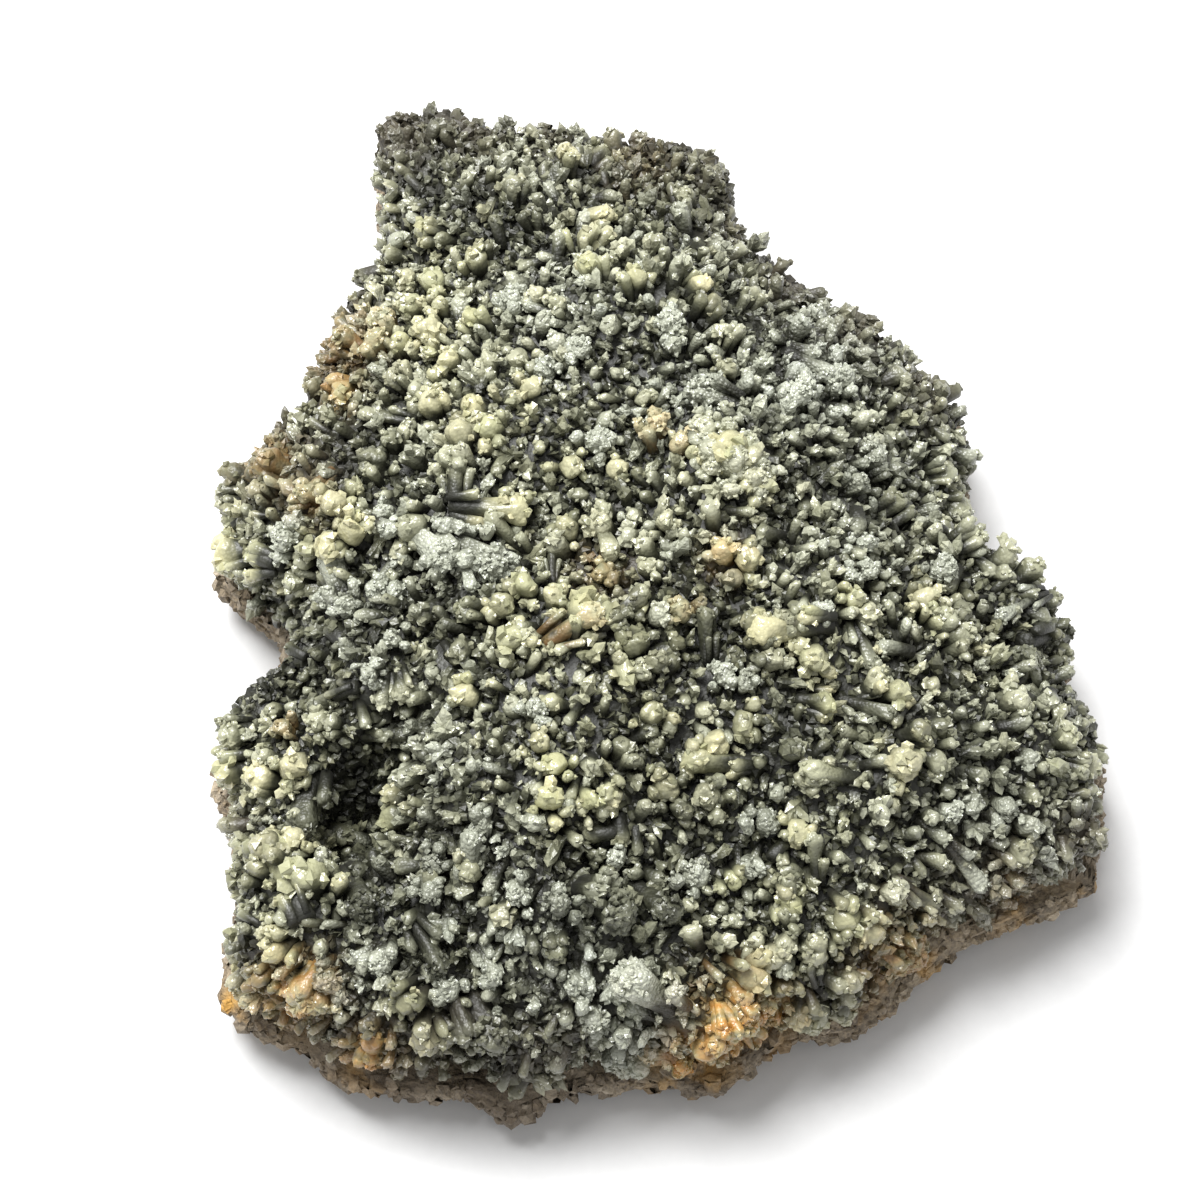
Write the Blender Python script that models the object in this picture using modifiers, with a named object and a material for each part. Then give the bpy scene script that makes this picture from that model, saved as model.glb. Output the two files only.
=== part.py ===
"""Prehnite specimen: a crust of finger crystals grown on a slab of grey-brown matrix.

The crust is one solid: a flat-topped body with hollows, and the fingers fused to it.
The matrix is the rough slab below, with a flat foot to rest on.
X runs to the right, Y away from the viewer and Z up, with the origin under the middle.
Sizes are in millimetres here, and become metres where an object is made.
"""

import math
import random

import bmesh
import bpy
import numpy as np
from mathutils import Matrix, Vector, noise
from mathutils.bvhtree import BVHTree

MM = 0.001

# The specimen is 150 mm wide. Places on it are read in a square view of 1200 pixels,
# from the front and above, in which that width takes 909 pixels.
WIDTH = 150.0
SEEN_WIDTH = 909.0
PIXELS_PER_MM = SEEN_WIDTH / WIDTH
VIEW_PIXELS = 1200
VIEW_ELEVATION = math.radians(65.0)
VIEW_DISTANCE = 450.0
VIEW_TARGET = Vector((-9.4, -9.8, 30.0))

# The specimen's edge in that view, as pixels across and down, clockwise from the back.
# The level of the edge falls from the back to the front.
SEEN_EDGE = (
    (370, 115), (430, 103), (480, 120), (545, 118), (600, 135), (640, 130), (728, 155),
    (733, 210), (745, 240), (790, 270), (830, 300), (880, 325), (930, 370), (972, 405),
    (970, 505), (982, 562), (1035, 580), (1062, 608), (1074, 650), (1070, 695),
    (1110, 755), (1110, 790), (1100, 830), (1108, 885), (1060, 905), (1025, 925),
    (960, 945), (920, 975), (885, 1010), (850, 1040), (765, 1055), (740, 1085),
    (700, 1102), (640, 1090), (575, 1100), (510, 1125), (470, 1100), (380, 1100),
    (340, 1090), (310, 1065), (265, 1050), (226, 1005), (226, 960), (235, 900),
    (225, 830), (207, 770), (218, 722), (260, 707), (290, 690), (277, 650), (270, 620),
    (238, 598), (209, 562), (214, 490), (235, 465), (278, 415), (303, 395), (312, 350),
    (350, 290), (375, 250), (380, 200), (371, 150),
)
BACK_EDGE = (103, 27.0)
FRONT_EDGE = (1125, 6.0)

# The crust's body, without its fingers.
CRUST_INSET = 4.6
CRUST_CREST = 45.0
CRUST_FALL = 10.0
CRUST_GIRTH_LEVEL = 18.0
CRUST_UNDERSIDE = 7.0
CRUST_SQUARENESS = 3.6
BROAD_SWELL = (30.0, 5.0)
FINE_SWELL = (11.0, 2.2)

# Hollows and rises in the crust: across and down in the view, then radius and rise.
RELIEF = (
    (372, 762, 7.0, -15.0), (345, 805, 8.0, -22.0), (410, 722, 5.0, -8.0),
    (292, 668, 8.0, -8.0), (588, 862, 6.5, -9.0), (505, 1035, 6.0, -8.0),
    (648, 868, 5.0, -6.0), (617, 217, 5.0, -6.0), (855, 735, 6.0, -4.0),
    (470, 720, 5.0, -4.0), (640, 500, 6.0, -3.0), (790, 520, 6.0, -4.0),
    (1035, 640, 8.0, -7.0), (262, 845, 9.0, 4.0), (430, 760, 8.0, 4.0),
    (590, 640, 10.0, 3.0), (735, 450, 8.0, 4.0), (815, 650, 7.0, 2.0),
    (450, 550, 8.0, 3.0), (640, 1045, 6.0, 3.0), (230, 545, 7.0, 3.0),
    (240, 760, 6.0, 3.0), (550, 905, 7.0, 3.0), (900, 750, 6.0, 3.0),
    (320, 520, 7.0, 3.0), (600, 330, 9.0, 3.0),
)

# The matrix slab.
SLAB_INSET = 1.2
SLAB_GIRTH_LEVEL = 9.0
SLAB_TOP = 13.0
SLAB_SQUARENESS = 3.6
FOOT_DEPTH = 2.6
PARTING_SWELL = (17.0, 1.6)
CHIP_SWELL = (6.0, 1.6)
PARTING_GAP = 0.35

# Knobs that stand out in the view: across, down and radius in pixels.
YELLOW_KNOBS = (
    (425, 232, 12), (474, 258, 13), (430, 283, 13), (411, 305, 12), (439, 306, 10),
    (432, 331, 16), (402, 342, 11), (474, 318, 12), (448, 360, 13), (343, 389, 14),
    (529, 387, 13), (430, 404, 15), (474, 407, 13), (492, 429, 15), (459, 436, 15),
    (570, 156, 13), (595, 213, 13), (585, 237, 13), (590, 267, 14), (637, 277, 12),
    (700, 284, 11), (711, 305, 12), (694, 452, 11), (731, 446, 21), (760, 482, 13),
    (569, 464, 13), (618, 467, 12), (518, 508, 15), (567, 532, 13), (603, 572, 11),
    (724, 555, 13), (748, 560, 15), (527, 586, 15), (555, 597, 12), (578, 612, 19),
    (510, 641, 17), (636, 647, 15), (625, 673, 16), (678, 644, 9), (761, 631, 17),
    (814, 657, 18), (824, 702, 13), (854, 599, 12), (898, 691, 15), (902, 764, 18),
    (921, 731, 12), (652, 715, 13), (742, 722, 15), (717, 745, 16), (539, 744, 12),
    (556, 764, 13), (549, 800, 15), (586, 799, 12), (608, 792, 12), (666, 785, 14),
    (701, 761, 14), (731, 879, 11), (798, 828, 14), (790, 902, 15), (848, 918, 17),
    (871, 931, 14), (751, 978, 18), (784, 987, 12), (232, 553, 17), (334, 505, 15),
    (326, 547, 16), (350, 534, 15), (502, 607, 14), (394, 818, 15), (394, 796, 10),
    (295, 765, 16), (261, 775, 14), (230, 772, 16), (266, 850, 19), (292, 840, 14),
    (313, 876, 21), (277, 934, 12), (276, 955, 13), (261, 978, 11), (405, 1004, 15),
    (427, 1039, 16), (466, 696, 14), (924, 600, 15), (939, 621, 12), (271, 461, 15),
)
GREEN_KNOBS = (
    (511, 187, 13), (600, 151, 12), (532, 213, 10), (487, 365, 13), (521, 357, 12),
    (396, 378, 13), (451, 459, 14), (375, 459, 14), (391, 441, 12), (537, 294, 10),
    (684, 198, 10), (723, 331, 12), (726, 368, 12), (642, 396, 10), (558, 302, 10),
    (663, 522, 11), (602, 526, 15), (646, 568, 11), (642, 594, 12), (616, 616, 11),
    (530, 639, 11), (654, 662, 14), (785, 621, 15), (769, 660, 13), (866, 612, 13),
    (874, 681, 13), (623, 746, 13), (812, 771, 15), (680, 808, 13), (709, 800, 15),
    (790, 874, 13), (816, 955, 14), (788, 944, 14), (769, 955, 16), (850, 979, 14),
    (816, 1013, 19), (842, 1023, 15), (222, 495, 13), (258, 490, 11), (292, 581, 12),
    (415, 529, 17), (465, 614, 12), (405, 691, 13), (232, 736, 13), (321, 720, 14),
    (468, 871, 13), (499, 913, 14), (559, 950, 11), (960, 616, 15), (963, 636, 14),
    (1015, 699, 14), (976, 500, 13), (973, 537, 13), (1007, 558, 15), (1031, 568, 13),
    (1068, 740, 13), (1088, 765, 14), (1022, 850, 14), (947, 474, 10), (895, 503, 13),
    (752, 294, 10), (211, 568, 10), (264, 757, 11), (1056, 600, 10), (1062, 655, 12),
)
FROSTED_KNOBS = (
    (511, 300, 12), (671, 321, 15), (582, 349, 12), (543, 368, 12), (595, 443, 14),
    (876, 457, 13), (863, 544, 10), (870, 573, 10), (850, 573, 9), (945, 568, 14),
    (285, 540, 15), (384, 511, 10), (444, 547, 18), (489, 560, 16), (374, 589, 11),
    (397, 587, 11), (350, 611, 13), (394, 641, 10), (366, 673, 12), (535, 709, 12),
    (326, 981, 15), (381, 957, 13), (430, 887, 12), (435, 863, 12), (516, 889, 13),
    (482, 821, 10), (617, 858, 11), (693, 879, 14), (748, 871, 11), (765, 821, 14),
    (575, 984, 13), (591, 1018, 14), (636, 1062, 19), (491, 976, 10), (449, 991, 13),
    (824, 610, 10), (906, 958, 19), (743, 681, 11), (725, 675, 12), (858, 483, 10),
    (948, 811, 11), (1003, 806, 12), (800, 395, 14), (845, 380, 12), (560, 905, 14),
)
TAN_KNOBS = (
    (385, 318, 14), (374, 341, 12), (346, 336, 12), (543, 132, 12), (656, 424, 13),
    (679, 443, 12), (679, 610, 13), (300, 990, 18), (281, 727, 10), (306, 492, 10),
    (232, 1008, 12), (373, 1058, 11), (717, 1041, 14), (749, 1018, 14), (778, 1016, 9),
    (678, 1074, 12), (420, 125, 11), (660, 150, 11), (700, 160, 10),
)
KNOBS = YELLOW_KNOBS + GREEN_KNOBS + FROSTED_KNOBS + TAN_KNOBS

# Fingers stand out by their radii and a little more, and lean towards the edge.
FINGER_LENGTH = (1.1, 1.4)
FINGER_SUNK = 2.0
FINGER_SIDES = 7
TIP_SHARE = 0.5
ROOT_SHARE = 0.85
FLATTENED = (0.8, 1.0)
OUTWARD_LEAN = 0.5
LEAN_SWELL = (9.0, 0.7)
LEAN_SHIFTS = (0.0, 40.0, 80.0)
SEED = 27

# Fingers between and behind the knobs.
FILLER_RADII = (2.0, 3.0)
FILLER_SPACING = 5.6
FILLER_TRIES = 12000
LOWEST_FILLER = 14.0
LOWEST_SLOPE = -0.2

# The bodies are drawn fine, then simplified to about this many triangles.
CRUST_FINENESS = 5
CRUST_TRIANGLES = 7800
SLAB_FINENESS = 5
SLAB_TRIANGLES = 700
FUSING_GRAIN = 1.0

CRUST_COLOUR = (0.30, 0.33, 0.27, 1.0)
SLAB_COLOUR = (0.16, 0.135, 0.115, 1.0)


def clear_scene():
    """Removes every object that the scene starts with."""
    for obj in list(bpy.data.objects):
        bpy.data.objects.remove(obj, do_unlink=True)


def collection_named(name):
    """A new collection linked to the scene."""
    made = bpy.data.collections.new(name)
    bpy.context.scene.collection.children.link(made)
    return made


def swell(x, y, form, shift=0.0):
    """A smooth rise and fall over the plan, of a wavelength and height."""
    size, height = form
    return height * noise.noise(Vector((x / size, y / size, shift)))


def view_ray(across, down):
    """Where a pixel of the view looks from, and its direction."""
    forward = Vector((0, math.cos(VIEW_ELEVATION), -math.sin(VIEW_ELEVATION)))
    right = Vector((1, 0, 0))
    upward = right.cross(forward)
    middle = VIEW_PIXELS / 2
    aim = VIEW_TARGET + right * ((across - middle) / PIXELS_PER_MM)
    aim += upward * ((middle - down) / PIXELS_PER_MM)
    eye = VIEW_TARGET - forward * VIEW_DISTANCE
    return eye, (aim - eye).normalized()


def seen_at_level(across, down, level):
    """The point of the plan that a pixel of the view shows at a level."""
    eye, look = view_ray(across, down)
    point = eye + look * ((level - eye.z) / look.z)
    return point.x, point.y


def edge_in_plan():
    """The angles and distances from the middle of the specimen's edge, sorted."""
    points = []
    for across, down in SEEN_EDGE:
        level = np.interp(down, *zip(BACK_EDGE, FRONT_EDGE))
        x, y = seen_at_level(across, down, float(level))
        points.append((math.atan2(y, x) % math.tau, math.hypot(x, y)))
    return np.array(sorted(points)).T


EDGE_ANGLES, EDGE_DISTANCES = edge_in_plan()


def rim(angle):
    """The edge's distance from the middle at an angle in radians."""
    turned = angle % math.tau
    return float(np.interp(turned, EDGE_ANGLES, EDGE_DISTANCES, period=math.tau))


RELIEF_IN_PLAN = [
    (*seen_at_level(across, down, CRUST_CREST - 5), radius, rise)
    for across, down, radius, rise in RELIEF
]


def crust_top(x, y):
    """The level of the crust's top over a point of the plan."""
    share = min(1.0, math.hypot(x, y) / rim(math.atan2(y, x)))
    level = CRUST_CREST - CRUST_FALL * share**2
    level += swell(x, y, BROAD_SWELL) + swell(x, y, FINE_SWELL, 5.0)
    for middle_x, middle_y, radius, rise in RELIEF_IN_PLAN:
        away = ((x - middle_x) ** 2 + (y - middle_y) ** 2) / radius**2
        level += rise * math.exp(-away)
    return level


def shaped_ball(fineness, squareness, place):
    """A ball whose points are moved by place.

    place takes a direction's angle in the plan, then how far out and how far up the
    point lies, from 0 to 1, with up negative below the girth. Between them these run
    along a quarter that is squarer than a circle.
    """
    bm = bmesh.new()
    bmesh.ops.create_icosphere(bm, subdivisions=fineness, radius=1.0)
    for vert in bm.verts:
        out = math.hypot(vert.co.x, vert.co.y) ** (2 / squareness)
        up = math.copysign(abs(vert.co.z) ** (2 / squareness), vert.co.z)
        vert.co = place(math.atan2(vert.co.y, vert.co.x), out, up)
    return bm


def crust_place(angle, out, up):
    """A point of the crust's body."""
    reach = (rim(angle) - CRUST_INSET) * out
    x, y = reach * math.cos(angle), reach * math.sin(angle)
    rise = crust_top(x, y) - CRUST_GIRTH_LEVEL
    if up < 0:
        rise = CRUST_GIRTH_LEVEL - CRUST_UNDERSIDE
    return Vector((x, y, CRUST_GIRTH_LEVEL + rise * up))


def slab_place(angle, out, up):
    """A point of the matrix, before it is cut off level at its foot."""
    chips = swell(40 * math.cos(angle), 40 * math.sin(angle), CHIP_SWELL, 2 * up)
    reach = (rim(angle) - SLAB_INSET + chips) * out
    x, y = reach * math.cos(angle), reach * math.sin(angle)
    rise = SLAB_TOP + swell(x, y, PARTING_SWELL, 9.0) - SLAB_GIRTH_LEVEL
    if up < 0:
        rise = SLAB_GIRTH_LEVEL + FOOT_DEPTH
    return Vector((x, y, SLAB_GIRTH_LEVEL + rise * up))


def growth(location, normal):
    """The way that a finger grows: off the surface, outward and a little its own way."""
    outward = Vector((location.x, location.y, 0)) * (2 / WIDTH)
    size, amount = LEAN_SWELL
    own = Vector(noise.noise(location / size + Vector((0, 0, up))) for up in LEAN_SHIFTS)
    return (normal + outward * OUTWARD_LEAN + own * amount).normalized()


def finger_length(radius):
    """How far a finger of this radius stands out."""
    times, more = FINGER_LENGTH
    return times * radius + more


def knob_fingers(tree):
    """The fingers whose ends show as the listed knobs: root, direction and radius."""
    fingers = []
    for across, down, size in KNOBS:
        eye, look = view_ray(across, down)
        location, normal, _, _ = tree.ray_cast(eye, look)
        if location is None:
            beside = eye + look * VIEW_DISTANCE
            location, normal, _, _ = tree.find_nearest(beside)
        radius = size / PIXELS_PER_MM * (location - eye).dot(look) / VIEW_DISTANCE
        way = growth(location, normal)
        reach = way * (finger_length(radius) - radius)
        aside = reach - look * reach.dot(look)
        root, _, _, _ = tree.ray_cast(eye - aside, look)
        if root is None:
            root, _, _, _ = tree.find_nearest(location - aside)
        fingers.append((root, way, radius))
    return fingers


def filler_fingers(bm, taken, rng):
    """Fingers between the knobs and over what the view doesn't reach."""
    faces = [
        face for face in bm.faces
        if face.calc_center_median().z > LOWEST_FILLER and face.normal.z > LOWEST_SLOPE
    ]
    picks = rng.choices(faces, [face.calc_area() for face in faces], k=FILLER_TRIES)
    placed = [root for root, _, _ in taken]
    fingers = []
    for face in picks:
        a, b, c = (vert.co for vert in face.verts)
        low, high = sorted((rng.random(), rng.random()))
        root = a * low + b * (high - low) + c * (1 - high)
        radius = rng.uniform(*FILLER_RADII)
        if min((root - other).length for other in placed) > FILLER_SPACING:
            placed.append(root)
            fingers.append((root, growth(root, face.normal), radius))
    return fingers


def add_fingers(bm, fingers, rng):
    """Adds the fingers, each a prism with a low pointed tip and a sunk root."""
    for root, way, radius in fingers:
        length = finger_length(radius)
        turn = way.to_track_quat("Z", "Y").to_matrix().to_4x4()
        spin = Matrix.Rotation(rng.uniform(0, math.tau), 4, "Z")
        flat = Matrix.Diagonal((1, rng.uniform(*FLATTENED), 1, 1))
        made = bmesh.ops.create_uvsphere(
            bm, u_segments=FINGER_SIDES, v_segments=3, radius=1.0
        )
        widest = max(math.hypot(vert.co.x, vert.co.y) for vert in made["verts"])
        for vert in made["verts"]:
            at_pole = abs(vert.co.z) > 0.9
            side = vert.co.xy / widest * radius
            if vert.co.z > 0:
                level = length if at_pole else length - TIP_SHARE * radius
            else:
                side *= ROOT_SHARE
                level = -FINGER_SUNK * (1.5 if at_pole else 1.0)
            vert.co = (*side, level)
        place = Matrix.Translation(root) @ turn @ spin @ flat
        bmesh.ops.transform(bm, matrix=place, verts=made["verts"])


def object_of(bm, name, collection):
    """The mesh as an object in that collection."""
    mesh = bpy.data.meshes.new(name)
    bmesh.ops.triangulate(bm, faces=bm.faces)
    bmesh.ops.recalc_face_normals(bm, faces=bm.faces)
    bmesh.ops.scale(bm, vec=(MM, MM, MM), verts=bm.verts)
    bm.to_mesh(mesh)
    bm.free()
    obj = bpy.data.objects.new(name, mesh)
    collection.objects.link(obj)
    return obj


def applied(obj):
    """Applies the object's modifiers."""
    graph = bpy.context.evaluated_depsgraph_get()
    mesh = bpy.data.meshes.new_from_object(obj.evaluated_get(graph))
    obj.modifiers.clear()
    obj.data = mesh


def simplify(obj, triangles):
    """Thins out the faces, most where the surface is plain, to a number of triangles."""
    present = sum(len(face.vertices) - 2 for face in obj.data.polygons)
    modifier = obj.modifiers.new("Simplify", "DECIMATE")
    modifier.ratio = triangles / present
    applied(obj)


def fuse(obj):
    """Makes shapes that overlap in one object into one skin."""
    modifier = obj.modifiers.new("Fuse", "REMESH")
    modifier.mode = "VOXEL"
    modifier.voxel_size = FUSING_GRAIN * MM
    applied(obj)


def cut(obj, other):
    """Cuts the shape of other from obj."""
    modifier = obj.modifiers.new("Cut", "BOOLEAN")
    modifier.operation = "DIFFERENCE"
    modifier.solver = "EXACT"
    modifier.object = other
    applied(obj)


def cut_foot(obj):
    """Cuts the object off at the level that it rests on, with one flat face."""
    bm = bmesh.new()
    bm.from_mesh(obj.data)
    every = bm.verts[:] + bm.edges[:] + bm.faces[:]
    made = bmesh.ops.bisect_plane(bm, geom=every, plane_no=(0, 0, 1), clear_inner=True)
    edges = [item for item in made["geom_cut"] if isinstance(item, bmesh.types.BMEdge)]
    bmesh.ops.edgenet_fill(bm, edges=edges)
    bmesh.ops.recalc_face_normals(bm, faces=bm.faces)
    bm.to_mesh(obj.data)
    bm.free()


def mesh_in_mm(obj):
    """The object's mesh for measuring, in millimetres."""
    bm = bmesh.new()
    bm.from_mesh(obj.data)
    bmesh.ops.scale(bm, vec=(1 / MM, 1 / MM, 1 / MM), verts=bm.verts)
    bm.normal_update()
    return bm


def helper(obj):
    """Marks an object as one that only shapes others."""
    obj.hide_render = True
    obj.display_type = "WIRE"
    return obj


def keep_largest_island(obj):
    """Drops crumbs that a cut has left loose from the main body."""
    bm = bmesh.new()
    bm.from_mesh(obj.data)
    left = set(bm.verts)
    islands = []
    while left:
        stack = [left.pop()]
        island = set(stack)
        while stack:
            for edge in stack.pop().link_edges:
                for vert in edge.verts:
                    if vert in left:
                        left.discard(vert)
                        island.add(vert)
                        stack.append(vert)
        islands.append(island)
    main = max(islands, key=len)
    crumbs = [vert for island in islands if island is not main for vert in island]
    bmesh.ops.delete(bm, geom=crumbs, context="VERTS")
    bm.to_mesh(obj.data)
    bm.free()


def finish_with(obj, name, colour, roughness):
    """Gives the object one plain stone material."""
    made = bpy.data.materials.new(name)
    made.use_nodes = True
    shader = made.node_tree.nodes["Principled BSDF"]
    shader.inputs["Base Color"].default_value = colour
    shader.inputs["Roughness"].default_value = roughness
    shader.inputs["Metallic"].default_value = 0.0
    obj.data.materials.clear()
    obj.data.materials.append(made)


def make_matrix(parts, cutters):
    """The slab, and a cutter a gap larger that parts the crust from it."""
    matrix = object_of(shaped_ball(SLAB_FINENESS, SLAB_SQUARENESS, slab_place), "matrix", parts)
    simplify(matrix, SLAB_TRIANGLES)
    cut_foot(matrix)
    finish_with(matrix, "matrix_rock", SLAB_COLOUR, 0.7)
    swollen = mesh_in_mm(matrix)
    for vert, normal in [(vert, vert.normal.copy()) for vert in swollen.verts]:
        vert.co += normal * PARTING_GAP
    return helper(object_of(swollen, "parting_cutter", cutters))


def make_crust(parts, parting):
    """The body, with its fingers joined to it and its underside cut to the matrix."""
    body = shaped_ball(CRUST_FINENESS, CRUST_SQUARENESS, crust_place)
    body.normal_update()
    rng = random.Random(SEED)
    fingers = knob_fingers(BVHTree.FromBMesh(body))
    fingers += filler_fingers(body, fingers, rng)
    add_fingers(body, fingers, rng)
    crust = object_of(body, "prehnite_crust", parts)
    fuse(crust)
    simplify(crust, CRUST_TRIANGLES)
    cut(crust, parting)
    keep_largest_island(crust)
    finish_with(crust, "prehnite", CRUST_COLOUR, 0.35)


def main():
    """The matrix, then the crust that grows on it."""
    clear_scene()
    parts = collection_named("prehnite")
    cutters = collection_named("cutters")
    parting = make_matrix(parts, cutters)
    make_crust(parts, parting)


main()
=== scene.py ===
"""Looks of a prehnite hand specimen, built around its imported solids.

The specimen is a crust of finger crystals on a slab of grey-brown matrix. Places are
worked out in millimetres, in the same form as the solids, and meshes are made in metres.
"""

import enum
import functools
import logging
import math
from collections.abc import Callable
from dataclasses import dataclass, field

import bmesh
import bpy
import numpy as np
from mathutils import Matrix, Vector, noise
from mathutils.bvhtree import BVHTree

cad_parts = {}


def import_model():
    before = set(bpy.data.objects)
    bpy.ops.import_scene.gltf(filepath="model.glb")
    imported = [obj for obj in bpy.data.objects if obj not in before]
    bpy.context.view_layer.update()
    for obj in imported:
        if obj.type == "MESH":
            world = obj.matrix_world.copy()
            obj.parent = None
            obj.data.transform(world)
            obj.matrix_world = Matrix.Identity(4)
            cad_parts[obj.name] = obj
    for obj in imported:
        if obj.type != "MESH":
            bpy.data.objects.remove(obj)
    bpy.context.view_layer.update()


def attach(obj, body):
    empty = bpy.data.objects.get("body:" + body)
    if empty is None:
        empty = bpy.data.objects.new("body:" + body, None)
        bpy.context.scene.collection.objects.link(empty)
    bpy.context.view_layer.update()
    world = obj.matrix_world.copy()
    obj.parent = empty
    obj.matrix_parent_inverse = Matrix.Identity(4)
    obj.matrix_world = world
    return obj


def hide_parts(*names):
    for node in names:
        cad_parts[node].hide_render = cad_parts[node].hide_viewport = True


LOG = logging.getLogger("prehnite")
MM = 0.001
BODY = "root"
SEED = 27
# How much darker a crystal is where hardly any light reaches.
DIMMING = 0.7
# Lengths below this count as nothing.
TINY = 1e-6
# The numbers that every mesh holds at each point, for its finish to read.
# Rise pales a crystal towards its end; it is lowered by painted shade at the roots and in the
# hollows.
TRAITS = ("rise", "tone", "lime", "frost", "stain", "soil")


def linear(hex_colour: str) -> tuple[float, float, float, float]:
    """Turns an sRGB hex colour into linear values.

    Args:
        hex_colour: Six hex digits after a hash sign.

    Returns:
        Red, green, blue and alpha.
    """
    parts = [int(hex_colour[i : i + 2], 16) / 255 for i in (1, 3, 5)]
    red, green, blue = (
        part / 12.92 if part <= 0.04045 else ((part + 0.055) / 1.055) ** 2.4
        for part in parts
    )
    return red, green, blue, 1.0


def unit(rows: np.ndarray) -> np.ndarray:
    """Gives rows of numbers the length of one."""
    return rows / np.maximum(np.linalg.norm(rows, axis=1), TINY)[:, None]


class Habit(enum.Enum):
    """How a knob of the crust looks."""

    YELLOW = "yellow"
    GREEN = "green"
    FROSTED = "frosted"
    TAN = "tan"
    DARK = "dark"
    SUGARY = "sugary"


@dataclass(frozen=True)
class Look:
    """A finger's colours, from 0 to 1, and the small crystals that grow on its end.

    Crystals are given per square millimetre, and their size as a share of the end's radius.
    """

    lime: float = 0.0
    stain: float = 0.0
    frost: float = 0.0
    shade: float = 0.0
    crystals: float = 2.0
    crystal_share: float = 0.4


LOOKS = {
    Habit.YELLOW: Look(lime=0.85, crystals=1.3, crystal_share=0.38),
    Habit.GREEN: Look(lime=0.4, frost=0.1, crystals=2.5, crystal_share=0.32),
    Habit.FROSTED: Look(lime=0.2, frost=0.65, crystals=9.0, crystal_share=0.24),
    Habit.TAN: Look(lime=0.7, stain=0.25, frost=0.1, crystals=5.0, crystal_share=0.3),
    Habit.DARK: Look(lime=0.05, frost=0.15, shade=0.35, crystals=9.0, crystal_share=0.22),
    Habit.SUGARY: Look(lime=0.55, frost=0.35, crystals=7.0, crystal_share=0.26),
}


@dataclass(frozen=True)
class View:
    """The photograph's view: a square of 1200 pixels, from the front and above."""

    width_mm: float = 150.0
    seen_width: float = 909.0
    pixels: int = 1200
    elevation: float = math.radians(65.0)
    distance: float = 450.0
    target: tuple[float, float, float] = (-9.4, -9.8, 30.0)

    @property
    def pixels_per_mm(self) -> float:
        """Pixels that a millimetre takes at the target."""
        return self.seen_width / self.width_mm

    @property
    def forward(self) -> Vector:
        """The way that the view looks."""
        return Vector((0, math.cos(self.elevation), -math.sin(self.elevation)))

    @property
    def eye(self) -> Vector:
        """Where the view looks from."""
        return Vector(self.target) - self.forward * self.distance

    def ray(self, across: float, down: float) -> Vector:
        """Finds the direction in which a pixel looks.

        Args:
            across: Pixels from the left.
            down: Pixels from the top.

        Returns:
            A unit vector from the eye.
        """
        right = Vector((1, 0, 0))
        upward = right.cross(self.forward)
        middle = self.pixels / 2
        aim = Vector(self.target) + right * ((across - middle) / self.pixels_per_mm)
        aim += upward * ((middle - down) / self.pixels_per_mm)
        return (aim - self.eye).normalized()

    def at_level(self, across: float, down: float, level: float) -> tuple[float, float]:
        """Finds the point of the plan that a pixel shows at a level.

        Args:
            across: Pixels from the left.
            down: Pixels from the top.
            level: Height above the foot in millimetres.

        Returns:
            X and Y in millimetres.
        """
        look = self.ray(across, down)
        point = self.eye + look * ((level - self.eye.z) / look.z)
        return point.x, point.y

    def seen(self, points: np.ndarray) -> np.ndarray:
        """Finds the pixels at which points show.

        Args:
            points: Rows of X, Y and Z in millimetres.

        Returns:
            Rows of pixels across and down.
        """
        away = points - np.array(self.eye)
        forward = np.array(self.forward)
        upward = np.cross((1.0, 0.0, 0.0), forward)
        scale = self.distance * self.pixels_per_mm / (away @ forward)
        middle = self.pixels / 2
        return np.stack([middle + away[:, 0] * scale, middle - away @ upward * scale], 1)


@dataclass(frozen=True)
class Swell:
    """A smooth rise and fall over the plan."""

    size: float
    height: float
    shift: float = 0.0

    def at(self, x: float, y: float) -> float:
        """The rise at a point of the plan."""
        return self.height * noise.noise(Vector((x / self.size, y / self.size, self.shift)))

    def around(self, point: Vector) -> float:
        """The rise at a point in space."""
        return self.height * noise.noise(point / self.size)


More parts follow.
